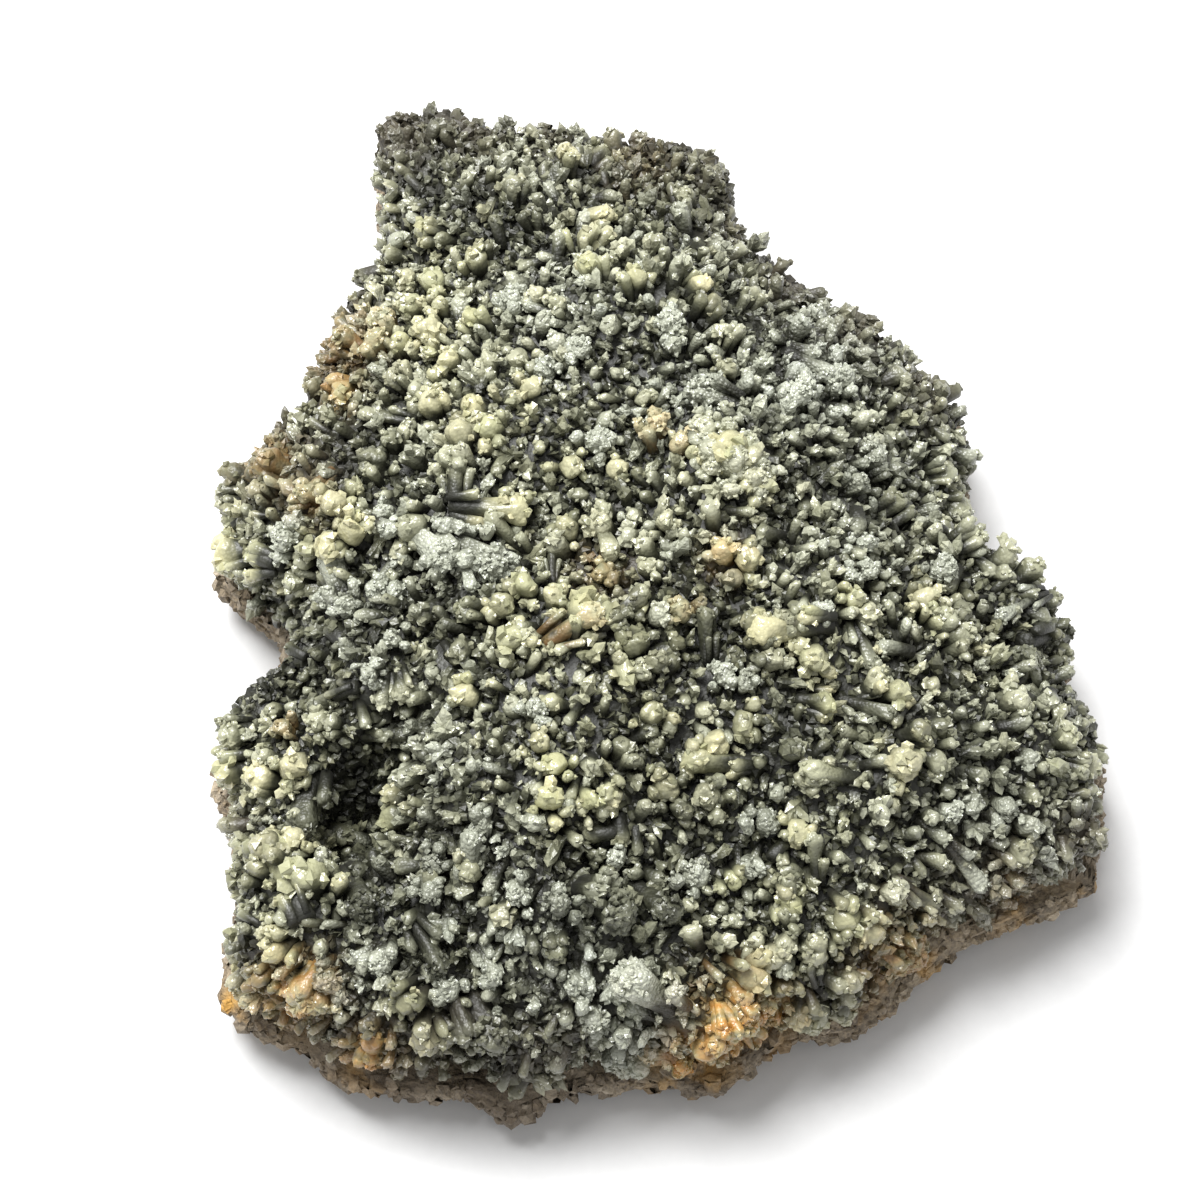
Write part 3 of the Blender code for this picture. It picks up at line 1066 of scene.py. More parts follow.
@dataclass
class Bed:
    """The surface that the fingers grow from, a little inside the solid's body."""

    form: Form
    fineness: int = 6
    drop: float = 1.6
    # The rim swells out, and most of all at the back: from which share of the way out,
    # over which upward parts of the normal, and between which Y the back begins.
    rim_from: float = 0.8
    rim_slopes: tuple[float, float] = (0.7, 0.2)
    rim_lift: float = 0.9
    back_from: tuple[float, float] = (25.0, 55.0)
    back_lift: float = 4.4
    coarse: Swell = Swell(4.5, 1.0)
    lumps: Swell = Swell(2.6, 0.5)
    outer: BVHTree = field(init=False)
    skin: Skin = field(init=False)

    def __post_init__(self) -> None:
        """Makes the bed, and the tree that finds points on the body round it."""
        bm = self.form.ball(self.fineness, self.form.crust_squareness, self.form.crust_place)
        self.outer = BVHTree.FromBMesh(bm)
        for vert, normal in [(vert, vert.normal.copy()) for vert in bm.verts]:
            vert.co += normal * self.lift(vert.co, normal)
        self.skin = Skin.of(bm)

    def lift(self, point: Vector, normal: Vector) -> float:
        """Works out how far outside the body the bed lies.

        Args:
            point: A point on the body.
            normal: The body's normal there.

        Returns:
            Millimetres outward.
        """
        lump = self.coarse.around(point) + self.lumps.around(point)
        share = float(np.interp(-normal.z, [-slope for slope in self.rim_slopes], (0, 1)))
        share *= self.form.rim_share(point.x, point.y) > self.rim_from
        back = self.back_lift * float(np.interp(point.y, self.back_from, (0, 1)))
        lump += share * (self.rim_lift + back * max(0.0, normal.y))
        return lump - self.drop

    def sample(self, rng: np.random.Generator, count: int, lowest: float,
               slope: float) -> tuple[np.ndarray, np.ndarray]:
        """Picks points spread evenly over the surface.

        Args:
            rng: The random numbers.
            count: How many to pick.
            lowest: The lowest level to use, in millimetres.
            slope: The least upward part of a normal.

        Returns:
            The points and their normals.
        """
        corners, normals = self.skin.corners, self.skin.normals
        usable = (corners[:, :, 2].mean(axis=1) > lowest) & (normals[:, 2] > slope)
        chosen = self.skin.pick(rng, count, usable)
        shares = np.sort(rng.random((count, 2)), axis=1)
        low, high = shares[:, :1], shares[:, 1:]
        picked = corners[chosen]
        points = picked[:, 0] * low + picked[:, 1] * (high - low) + picked[:, 2] * (1 - high)
        return points, normals[chosen]


@dataclass(frozen=True)
class Patch:
    """A patch of the view where a colour is stronger."""

    across: float
    down: float
    radius: float
    amount: float = 1.0


@dataclass
class Zones:
    """Where the crust is yellow-green, frosted, stained or dark."""

    view: View
    lime: tuple[Patch, ...] = (
        Patch(430, 310, 75, 0.8), Patch(490, 420, 60, 0.5), Patch(590, 235, 45, 0.7),
        Patch(250, 765, 55, 0.9), Patch(280, 870, 55, 0.7), Patch(270, 950, 40, 0.8),
        Patch(590, 640, 90, 0.6), Patch(740, 460, 50, 0.6), Patch(820, 640, 60, 0.4),
        Patch(740, 730, 60, 0.4), Patch(340, 520, 60, 0.6), Patch(910, 745, 30, 0.8),
        Patch(570, 790, 60, 0.4), Patch(860, 920, 50, 0.5), Patch(770, 980, 50, 0.5),
        Patch(230, 550, 40, 0.8), Patch(930, 600, 50, 0.4), Patch(1090, 760, 45, 0.3),
        Patch(420, 1020, 40, 0.6),
    )
    frost: tuple[Patch, ...] = (
        Patch(800, 380, 60, 0.9), Patch(700, 400, 50, 0.8), Patch(560, 310, 60, 0.5),
        Patch(450, 550, 55, 0.6), Patch(640, 1040, 60, 0.9), Patch(580, 960, 70, 0.6),
        Patch(370, 970, 50, 0.5), Patch(500, 900, 70, 0.4), Patch(1020, 860, 60, 0.5),
        Patch(440, 730, 50, 0.3), Patch(860, 490, 60, 0.4), Patch(980, 790, 70, 0.3),
    )
    stain: tuple[Patch, ...] = (
        Patch(350, 345, 30, 0.4), Patch(345, 390, 20, 0.5), Patch(275, 462, 26, 0.4),
        Patch(310, 505, 20, 0.35), Patch(725, 560, 20, 0.4), Patch(600, 575, 25, 0.25),
        Patch(295, 995, 36, 0.75), Patch(232, 1008, 20, 1.0), Patch(370, 1055, 25, 0.9),
        Patch(735, 1022, 42, 1.0), Patch(690, 1062, 34, 1.0), Patch(775, 1010, 22, 1.0),
        Patch(905, 960, 40, 0.7), Patch(640, 165, 30, 0.12), Patch(875, 1018, 12, 0.9),
        Patch(1095, 885, 18, 0.7), Patch(1015, 900, 30, 0.5),
    )
    soil: tuple[Patch, ...] = (
        Patch(390, 130, 40, 0.6), Patch(470, 118, 40, 0.5), Patch(550, 125, 35, 0.4),
        Patch(640, 130, 40, 0.3), Patch(715, 160, 40, 0.4), Patch(735, 230, 25, 0.6),
        Patch(790, 275, 30, 0.6), Patch(860, 320, 35, 0.5), Patch(940, 380, 40, 0.4),
        Patch(320, 320, 30, 0.6), Patch(350, 260, 25, 0.5), Patch(340, 340, 35, 0.3),
        Patch(300, 470, 40, 0.3),
        Patch(430, 1080, 70, 0.6), Patch(560, 1085, 60, 0.6), Patch(300, 1045, 40, 0.7),
        Patch(1085, 850, 45, 0.6), Patch(1000, 905, 60, 0.6), Patch(900, 990, 50, 0.5),
        Patch(780, 1045, 50, 0.5), Patch(235, 820, 20, 0.5),
    )

    # Paler parts, where light is painted over the painted shade, left out of the dappling.
    bright: tuple[Patch, ...] = (
        Patch(440, 725, 60), Patch(540, 670, 60), Patch(730, 520, 55), Patch(800, 400, 60),
        Patch(590, 300, 60), Patch(830, 570, 60), Patch(250, 800, 55), Patch(640, 1030, 55),
        Patch(730, 460, 60), Patch(250, 560, 50), Patch(420, 320, 60), Patch(560, 790, 50),
        Patch(570, 325, 35), Patch(525, 425, 30), Patch(870, 425, 35), Patch(980, 525, 50),
        Patch(1075, 575, 40), Patch(530, 675, 55), Patch(475, 715, 35), Patch(820, 825, 40),
        Patch(370, 520, 30), Patch(870, 770, 35), Patch(1060, 850, 50), Patch(1000, 690, 40),
    )
    # How much paler the painted light makes those parts.
    paling: float = 0.35
    # Painted shade dapples the whole crust in darker and lighter groups, like the shade of a low
    # relief.
    dapple_sizes: tuple[float, float] = (15.0, 6.0)
    dapple: float = 1.3
    deepest_dapple: float = 0.7
    # Hollows and gaps that hardly any light reaches.
    dim: tuple[Patch, ...] = (
        Patch(352, 785, 48, 1.1), Patch(405, 722, 26, 0.8), Patch(588, 862, 42, 0.5),
        Patch(505, 1035, 48, 0.5), Patch(650, 868, 32, 0.5), Patch(617, 217, 28, 0.6),
        Patch(292, 668, 35, 0.6), Patch(1050, 640, 55, 0.45), Patch(420, 830, 60, 0.35),
        Patch(790, 520, 40, 0.4), Patch(380, 650, 50, 0.35), Patch(900, 350, 70, 0.3),
        Patch(470, 160, 80, 0.3), Patch(560, 1010, 60, 0.3), Patch(1000, 780, 60, 0.3),
        Patch(440, 125, 70, 0.6), Patch(345, 300, 40, 0.5), Patch(325, 375, 40, 0.6),
        Patch(660, 175, 60, 0.5), Patch(790, 285, 50, 0.6), Patch(440, 900, 70, 0.5),
        Patch(670, 870, 40, 0.5), Patch(440, 620, 50, 0.6), Patch(1060, 620, 40, 0.6),
        Patch(320, 655, 45, 0.8), Patch(455, 630, 45, 0.7), Patch(520, 225, 32, 0.9),
        Patch(318, 345, 32, 0.8), Patch(615, 590, 30, 0.7), Patch(780, 735, 42, 0.8),
        Patch(372, 870, 32, 1.0), Patch(675, 795, 42, 0.8), Patch(575, 865, 32, 0.7),
        Patch(440, 930, 60, 0.5), Patch(620, 925, 32, 0.7), Patch(375, 1020, 28, 0.8),
        Patch(470, 1025, 30, 0.5), Patch(815, 925, 42, 0.5), Patch(825, 372, 28, 0.5),
        Patch(775, 522, 32, 0.7), Patch(630, 745, 40, 0.6), Patch(860, 965, 40, 0.5),
    )
    # Darker parts of the rock's broken edge: partly the rock's own colour, partly painted shade
    # along its front.
    dark_rock: tuple[Patch, ...] = (
        Patch(255, 1040, 40, 0.6), Patch(300, 1078, 55, 0.9), Patch(390, 1108, 60, 0.9),
        Patch(500, 1120, 60, 1.0), Patch(580, 1108, 45, 0.8), Patch(705, 1098, 50, 0.9),
        Patch(780, 1060, 40, 0.7), Patch(860, 1030, 30, 0.5), Patch(1100, 880, 30, 0.4),
    )
    # Parts with small crystals in place of fingers.
    fine: tuple[Patch, ...] = (
        Patch(840, 320, 85, 0.8), Patch(910, 420, 70, 0.7), Patch(430, 150, 75, 0.7),
        Patch(690, 210, 55, 0.7), Patch(350, 790, 60, 1.2), Patch(1045, 640, 60, 0.8),
        Patch(1060, 860, 60, 0.7), Patch(520, 1090, 90, 0.8), Patch(400, 1075, 60, 0.8),
        Patch(320, 350, 35, 0.7), Patch(270, 640, 45, 0.6), Patch(980, 830, 50, 0.6),
        Patch(740, 640, 40, 0.5), Patch(600, 880, 50, 0.5), Patch(810, 1050, 60, 0.7),
    )

    def strength(self, patches: tuple[Patch, ...], points: np.ndarray) -> np.ndarray:
        """Works out how strong a colour is at points.

        Args:
            patches: The colour's patches.
            points: Rows of X, Y and Z in millimetres.

        Returns:
            A number from 0 to 1 for each point.
        """
        seen = self.view.seen(points)
        total = np.zeros(len(points))
        for patch in patches:
            away = ((seen - (patch.across, patch.down)) ** 2).sum(axis=1)
            total = np.maximum(total, patch.amount * np.exp(-away / patch.radius**2))
        return total

    def look(self, points: np.ndarray) -> dict[str, np.ndarray]:
        """Gives the strength of every kind of patch at points.

        Args:
            points: Rows of X, Y and Z in millimetres.

        Returns:
            A number from 0 to 1 for each point, by the patches' name.
        """
        names = ("lime", "frost", "stain", "soil", "dim", "fine", "bright", "dark_rock")
        found = {name: self.strength(getattr(self, name), points) for name in names}
        # Painted shade that dapples the crust, less where the paler parts are.
        swells = np.array([
            sum(noise.noise(Vector(point) / size) for size in self.dapple_sizes)
            for point in points
        ])
        swells = np.clip(swells * self.dapple, 0, self.deepest_dapple)
        swells *= 1 - found["bright"]
        found["dim"] = np.maximum(found["dim"], swells) - self.paling * found["bright"]
        return found


@dataclass(frozen=True)
class Finger:
    """One finger crystal: its root, its way, its radius, its length and its look."""

    root: np.ndarray
    way: np.ndarray
    radius: float
    length: float
    look: Look


@dataclass
class Growth:
    """How fingers grow: which way, how far, and where a line of sight meets them."""

    view: View
    bed: Bed
    # A finger's length: times its radius, and more.
    stand: tuple[float, float] = (1.1, 1.4)
    outward_lean: float = 0.4
    # Its own way, from a smooth swell that is read at three levels, one for each axis.
    lean: Swell = Swell(9.0, 0.7)
    lean_shifts: tuple[float, float, float] = (0.0, 40.0, 80.0)
    tiers: Swell = Swell(7.0, 0.5, 3.0)
    # Where a line of sight that misses the crust is searched: from and to these shares of
    # the target's distance, and in steps of this share.
    searched: tuple[float, float, float] = (0.85, 1.15, 0.01)

    def way(self, location: Vector, normal: Vector) -> Vector:
        """Finds the way that a finger grows: off the surface, outward and its own way.

        Args:
            location: Its root.
            normal: The surface's normal there.

        Returns:
            A unit vector.
        """
        outward = Vector((location.x, location.y, 0)) * (2 / self.view.width_mm)
        own = Vector(
            noise.noise(location / self.lean.size + Vector((0, 0, shift)))
            for shift in self.lean_shifts
        )
        return (normal + outward * self.outward_lean + own * self.lean.height).normalized()

    def length(self, radius: float) -> float:
        """How far a finger of this radius stands out of the solid's body."""
        times, more = self.stand
        return times * radius + more

    def shown_at(self, look: Vector) -> tuple[Vector, Vector]:
        """Finds the crust at a line of sight, or where the line passes nearest to it.

        Args:
            look: The line's direction from the eye.

        Returns:
            The place on the crust and its normal.
        """
        tree, eye = self.bed.outer, self.view.eye
        location, normal, _, _ = tree.ray_cast(eye, look)
        if location is not None:
            return location, normal
        steps = np.arange(*self.searched) * self.view.distance
        nearest = min((tree.find_nearest(eye + look * step) for step in steps),
                      key=lambda found: found[3])
        return nearest[0], nearest[1]

    def within(self, fingers: list[Finger]) -> list[Finger]:
        """Leaves out the fingers whose ends would show outside the specimen's outline.

        Args:
            fingers: The fingers to choose from.

        Returns:
            Those whose ends show inside the outline.
        """
        ends = [finger.root + finger.way * (finger.length - finger.radius) for finger in fingers]
        shown = self.bed.form.within_edge(np.array(ends))
        return [finger for finger, is_shown in zip(fingers, shown) if is_shown]


@dataclass
class ShownFingers:
    """The fingers that the photograph shows one by one."""

    growth: Growth
    # Pixels across and down, and the knob's radius in pixels.
    knobs: dict[Habit, tuple[tuple[int, int, int], ...]] = field(default_factory=lambda: {
        Habit.YELLOW: (
            (425, 232, 12), (474, 258, 13), (430, 283, 13), (411, 305, 12), (439, 306, 10),
            (432, 331, 16), (402, 342, 11), (474, 318, 12), (448, 360, 13), (343, 389, 14),
            (529, 387, 13), (430, 404, 15), (474, 407, 13), (492, 429, 15), (459, 436, 15),
            (570, 156, 13), (595, 213, 13), (585, 237, 13), (590, 267, 14), (637, 277, 12),
            (700, 284, 11), (711, 305, 12), (694, 452, 11), (731, 446, 21), (760, 482, 13),
            (569, 464, 13), (618, 467, 12), (518, 508, 15), (567, 532, 13), (603, 572, 11),
            (724, 555, 13), (748, 560, 15), (527, 586, 15), (555, 597, 12), (578, 612, 19),
            (510, 641, 17), (636, 647, 15), (625, 673, 16), (678, 644, 9), (761, 631, 17),
            (814, 657, 18), (824, 702, 13), (854, 599, 12), (898, 691, 15), (902, 764, 18),
            (921, 731, 12), (652, 715, 13), (742, 722, 15), (717, 745, 16), (539, 744, 12),
            (556, 764, 13), (549, 800, 15), (586, 799, 12), (608, 792, 12), (666, 785, 14),
            (701, 761, 14), (731, 879, 11), (798, 828, 14), (790, 902, 15), (848, 918, 17),
            (871, 931, 14), (751, 978, 18), (784, 987, 12), (232, 553, 17), (334, 505, 15),
            (326, 547, 16), (350, 534, 15), (502, 607, 14), (394, 818, 15), (394, 796, 10),
            (295, 765, 16), (261, 775, 14), (230, 772, 16), (266, 850, 19), (292, 840, 14),
            (313, 876, 21), (277, 934, 12), (276, 955, 13), (261, 978, 11), (405, 1004, 15),
            (427, 1039, 16), (466, 696, 14), (924, 600, 15), (939, 621, 12), (271, 461, 15),
        ),
        Habit.GREEN: (
            (511, 187, 13), (600, 151, 12), (532, 213, 10), (487, 365, 13), (521, 357, 12),
            (396, 378, 13), (451, 459, 14), (375, 459, 14), (391, 441, 12), (537, 294, 10),
            (684, 198, 10), (723, 331, 12), (726, 368, 12), (642, 396, 10), (558, 302, 10),
            (663, 522, 11), (602, 526, 15), (646, 568, 11), (642, 594, 12), (616, 616, 11),
            (530, 639, 11), (654, 662, 14), (785, 621, 15), (769, 660, 13), (866, 612, 13),
            (874, 681, 13), (623, 746, 13), (812, 771, 15), (680, 808, 13), (709, 800, 15),
            (790, 874, 13), (816, 955, 14), (788, 944, 14), (769, 955, 16), (850, 979, 14),
            (816, 1013, 19), (842, 1023, 15), (222, 495, 13), (258, 490, 11), (292, 581, 12),
            (415, 529, 17), (465, 614, 12), (405, 691, 13), (232, 736, 13), (321, 720, 14),
            (468, 871, 13), (499, 913, 14), (559, 950, 11), (960, 616, 15), (963, 636, 14),
            (1015, 699, 14), (976, 500, 13), (973, 537, 13), (1007, 558, 15), (1031, 568, 13),
            (1068, 740, 13), (1088, 765, 14), (1022, 850, 14), (947, 474, 10), (895, 503, 13),
            (752, 294, 10), (211, 568, 10), (264, 757, 11), (1056, 600, 10), (1062, 655, 12),
        ),
        Habit.FROSTED: (
            (511, 300, 12), (671, 321, 15), (582, 349, 12), (543, 368, 12), (595, 443, 14),
            (876, 457, 13), (863, 544, 10), (870, 573, 10), (850, 573, 9), (945, 568, 14),
            (285, 540, 15), (384, 511, 10), (444, 547, 18), (489, 560, 16), (374, 589, 11),
            (397, 587, 11), (350, 611, 13), (394, 641, 10), (366, 673, 12), (535, 709, 12),
            (326, 981, 15), (381, 957, 13), (430, 887, 12), (435, 863, 12), (516, 889, 13),
            (482, 821, 10), (617, 858, 11), (693, 879, 14), (748, 871, 11), (765, 821, 14),
            (575, 984, 13), (591, 1018, 14), (636, 1062, 19), (491, 976, 10), (449, 991, 13),
            (824, 610, 10), (906, 958, 19), (743, 681, 11), (725, 675, 12), (858, 483, 10),
            (948, 811, 11), (1003, 806, 12), (800, 395, 14), (845, 380, 12), (560, 905, 14),
        ),
        Habit.TAN: (
            (385, 318, 14), (374, 341, 12), (346, 336, 12), (656, 424, 13),
            (679, 443, 12), (679, 610, 13), (300, 990, 18), (281, 727, 10), (306, 492, 10),
            (232, 1008, 12), (373, 1058, 11), (717, 1041, 14), (749, 1018, 14),
            (778, 1016, 9), (678, 1074, 12), (768, 1003, 11), (735, 1026, 14),
            (700, 1052, 12), (318, 1000, 13), (865, 1016, 9), (895, 962, 13), (912, 975, 12),
        ),
        Habit.SUGARY: (
            (708, 430, 11), (722, 445, 12), (714, 466, 12), (742, 470, 12), (758, 462, 11),
            (733, 490, 11), (768, 474, 10), (697, 425, 10), (752, 444, 10), (730, 426, 9),
        ),
    })
    # Fingers that lean over so far that their sides show: the pixels of the root and of
    # the end, and the end's radius in pixels.
    columns: dict[Habit, tuple[tuple[int, ...], ...]] = field(default_factory=lambda: {
        Habit.YELLOW: (
            (275, 562, 226, 548, 16), (466, 506, 516, 508, 14), (815, 625, 763, 630, 16),
            (742, 762, 694, 760, 12), (640, 600, 612, 618, 9), (372, 1085, 372, 1040, 12),
            (300, 905, 272, 850, 15),
        ),
        Habit.GREEN: (
            (520, 547, 492, 522, 10), (598, 520, 612, 550, 10), (284, 622, 296, 582, 11),
            (845, 776, 814, 770, 13), (855, 1028, 806, 1008, 16), (792, 915, 790, 884, 12),
            (455, 486, 456, 458, 12), (612, 618, 638, 598, 10), (400, 420, 366, 414, 9),
            (706, 648, 704, 616, 10), (815, 868, 812, 842, 9), (430, 902, 430, 876, 8),
            (345, 692, 314, 706, 11), (820, 968, 818, 942, 11),
        ),
        Habit.FROSTED: (
            (398, 520, 440, 556, 15), (452, 540, 492, 560, 15), (345, 598, 326, 562, 15),
            (395, 560, 374, 590, 9), (955, 852, 980, 880, 10), (462, 556, 472, 584, 7),
            (660, 1000, 632, 985, 20), (665, 1070, 630, 1050, 21), (480, 950, 497, 975, 9),
            (800, 360, 830, 375, 12),
            (725, 400, 700, 392, 14), (470, 880, 468, 842, 12), (482, 832, 480, 814, 8),
            (1035, 598, 1002, 614, 9),
        ),
        Habit.TAN: (
            (560, 634, 588, 612, 13), (718, 1040, 744, 1012, 13), (905, 985, 905, 955, 14),
            (322, 480, 306, 494, 9),
        ),
        Habit.SUGARY: (
            (722, 470, 735, 460, 14), (745, 492, 752, 478, 12), (700, 440, 712, 448, 12),
        ),
        Habit.DARK: (
            (480, 1010, 492, 1032, 20), (600, 905, 620, 910, 20), (858, 632, 872, 660, 8),
            (850, 702, 888, 712, 9), (552, 572, 550, 550, 6), (1030, 640, 1052, 632, 16),
            (1010, 660, 1020, 655, 16), (380, 736, 402, 733, 8), (640, 890, 662, 912, 16),
            (908, 888, 928, 905, 9), (310, 790, 300, 820, 16), (350, 880, 362, 900, 16),
            (420, 935, 440, 962, 12),
        ),
    })
    # How far a leaning finger's end stands off the crust: a share of its radius, and more.
    column_rise: float = 0.6
    column_lift: float = 1.4

    def knob_fingers(self) -> list[Finger]:
        """Finds the fingers whose ends show as the listed knobs.

        Returns:
            The fingers, in the knobs' order.
        """
        view, tree = self.growth.view, self.growth.bed.outer
        eye = view.eye
        found = []
        for habit, knobs in self.knobs.items():
            for across, down, size in knobs:
                look = view.ray(across, down)
                location, normal = self.growth.shown_at(look)
                depth = (location - eye).dot(look)
                radius = size / view.pixels_per_mm * depth / view.distance
                way = self.growth.way(location, normal)
                length = self.growth.length(radius)
                reach = way * (length - radius)
                start = eye - (reach - look * reach.dot(look))
                root = tree.ray_cast(start, look)[0] or location
                found.append(Finger(
                    np.array(root), np.array(way), radius, length, LOOKS[habit]
                ))
        return found

    def leaning_fingers(self) -> list[Finger]:
        """Finds the fingers that show their sides, from the pixels of root and end.

        Returns:
            The fingers, in the columns' order.
        """
        view, eye = self.growth.view, self.growth.view.eye
        found = []
        for habit, columns in self.columns.items():
            for root_across, root_down, across, down, size in columns:
                root, _ = self.growth.shown_at(view.ray(root_across, root_down))
                look = view.ray(across, down)
                under, normal = self.growth.shown_at(look)
                radius = size / view.pixels_per_mm
                lifted = under + normal * (radius * self.column_rise + self.column_lift)
                end = eye + look * (lifted - eye).dot(look)
                way = end - root
                found.append(Finger(
                    np.array(root), np.array(way.normalized()), radius,
                    way.length + radius, LOOKS[habit],
                ))
        return found

    def find(self) -> list[Finger]:
        """Finds all the fingers that the photograph shows."""
        return self.knob_fingers() + self.leaning_fingers()


@dataclass
class SideFingers:
    """Smaller fingers that grow against the sides of the shown ones."""

    growth: Growth
    rng: np.random.Generator
    count: int = 3
    # Shares of the shown finger's radius: how far aside they stand, how far they lean away,
    # how strong their colours are and how thick they are. The last is of their own length.
    aside: tuple[float, float] = (0.8, 1.25)
    lean: tuple[float, float] = (0.0, 0.45)
    fade: tuple[float, float] = (0.5, 1.0)
    thickness: tuple[float, float] = (0.4, 0.72)
    length: tuple[float, float] = (0.85, 1.3)

    def beside(self, finger: Finger) -> Finger:
        """Makes one finger at another's side.

        Args:
            finger: The finger that it grows against.

        Returns:
            The new finger.
        """
        aside = np.cross(finger.way, self.rng.normal(size=3))
        aside *= finger.radius * self.rng.uniform(*self.aside) / np.linalg.norm(aside)
        way = finger.way + aside / finger.radius * self.rng.uniform(*self.lean)
        fade = self.rng.uniform(*self.fade)
        look = Look(finger.look.lime * fade, finger.look.stain * fade, finger.look.frost)
        radius = finger.radius * self.rng.uniform(*self.thickness)
        length = self.growth.length(radius) * self.rng.uniform(*self.length)
        return Finger(finger.root + aside, way / np.linalg.norm(way), radius, length, look)

    def grow(self, shown: list[Finger]) -> list[Finger]:
        """Makes the fingers at every shown finger's side.

        Args:
            shown: The shown fingers.

        Returns:
            The new fingers that stay within the outline.
        """
        made = [self.beside(finger) for finger in shown for _ in range(self.count)]
        return self.growth.within(made)


@dataclass(frozen=True)
class Mixture:
    """How strong a colour is: a share of its patch, and a chance part of each crystal."""

    patch: float
    chance: float
    power: int

    def at(self, patch: np.ndarray, chance: np.ndarray) -> np.ndarray:
        """The colour's strength, from 0 to 1, where the patch has a strength."""
        return np.minimum(1.0, patch * self.patch + self.chance * chance**self.power)


@dataclass
class FillingFingers:
    """Fingers between the shown ones, and over the sides and the back."""

    growth: Growth
    zones: Zones
    rng: np.random.Generator
    tries: int = 26000
    lowest: float = 10.8
    lowest_slope: float = -0.4
    own_lean: float = 0.45
    # Their radii, and how rare the thick ones are, on the top and at the fringe.
    radii: tuple[float, float] = (1.0, 2.2)
    rarity: float = 1.5
    fringe_rarity: float = 3.0
    # The fringe is the part of the rim that is steeper than this.
    fringe_slope: float = 0.5
    # How far apart they stand, with a share of it for all and a share for the thick ones.
    spacing: float = 3.3
    spacing_shares: tuple[float, float] = (0.7, 0.3)
    lengths: tuple[float, float] = (0.8, 1.15)
    lime: Mixture = Mixture(0.55, 0.35, 3)
    frost: Mixture = Mixture(0.8, 0.5, 4)

    def grow(self, taken: list[Finger]) -> list[Finger]:
        """Makes the fingers at random points that are clear of the others.

        Args:
            taken: The fingers that already stand there.

        Returns:
            The new fingers that stay within the outline.
        """
        bed = self.growth.bed
        points, normals = bed.sample(self.rng, self.tries, self.lowest, self.lowest_slope)
        placed = np.empty((len(taken) + len(points), 3))
        placed[: len(taken)] = [finger.root for finger in taken]
        count = len(taken)
        looks = self.zones.look(points)
        lime_chances, frost_chances, fine_chances, thick = self.rng.random((len(points), 4)).T
        limes = self.lime.at(looks["lime"], lime_chances)
        frosts = self.frost.at(looks["frost"], frost_chances)
        leans = self.rng.normal(size=(len(points), 3)) * self.own_lean
        low, high = self.radii
        always, more = self.spacing_shares
        made = []
        for i, point in enumerate(points):
            fringe = normals[i][2] < self.fringe_slope
            fringe &= bed.form.rim_share(point[0], point[1]) > bed.rim_from
            if fine_chances[i] < looks["fine"][i] and not fringe:
                continue
            rarity = self.fringe_rarity if fringe else self.rarity
            radius = low + (high - low) * thick[i] ** rarity
            clear = self.spacing * (always + more * thick[i])
            if np.min(((placed[:count] - point) ** 2).sum(axis=1)) < clear**2:
                continue
            placed[count] = point
            count += 1
            way = self.growth.way(Vector(point), Vector(normals[i]) + Vector(leans[i]))
            look = Look(float(limes[i]), float(looks["stain"][i]), float(frosts[i]))
            root = point + normals[i] * bed.drop
            length = self.growth.length(radius) * self.rng.uniform(*self.lengths)
            length *= 1 + self.growth.tiers.at(point[0], point[1])
            made.append(Finger(root, np.array(way), radius, length, look))
        return self.growth.within(made)


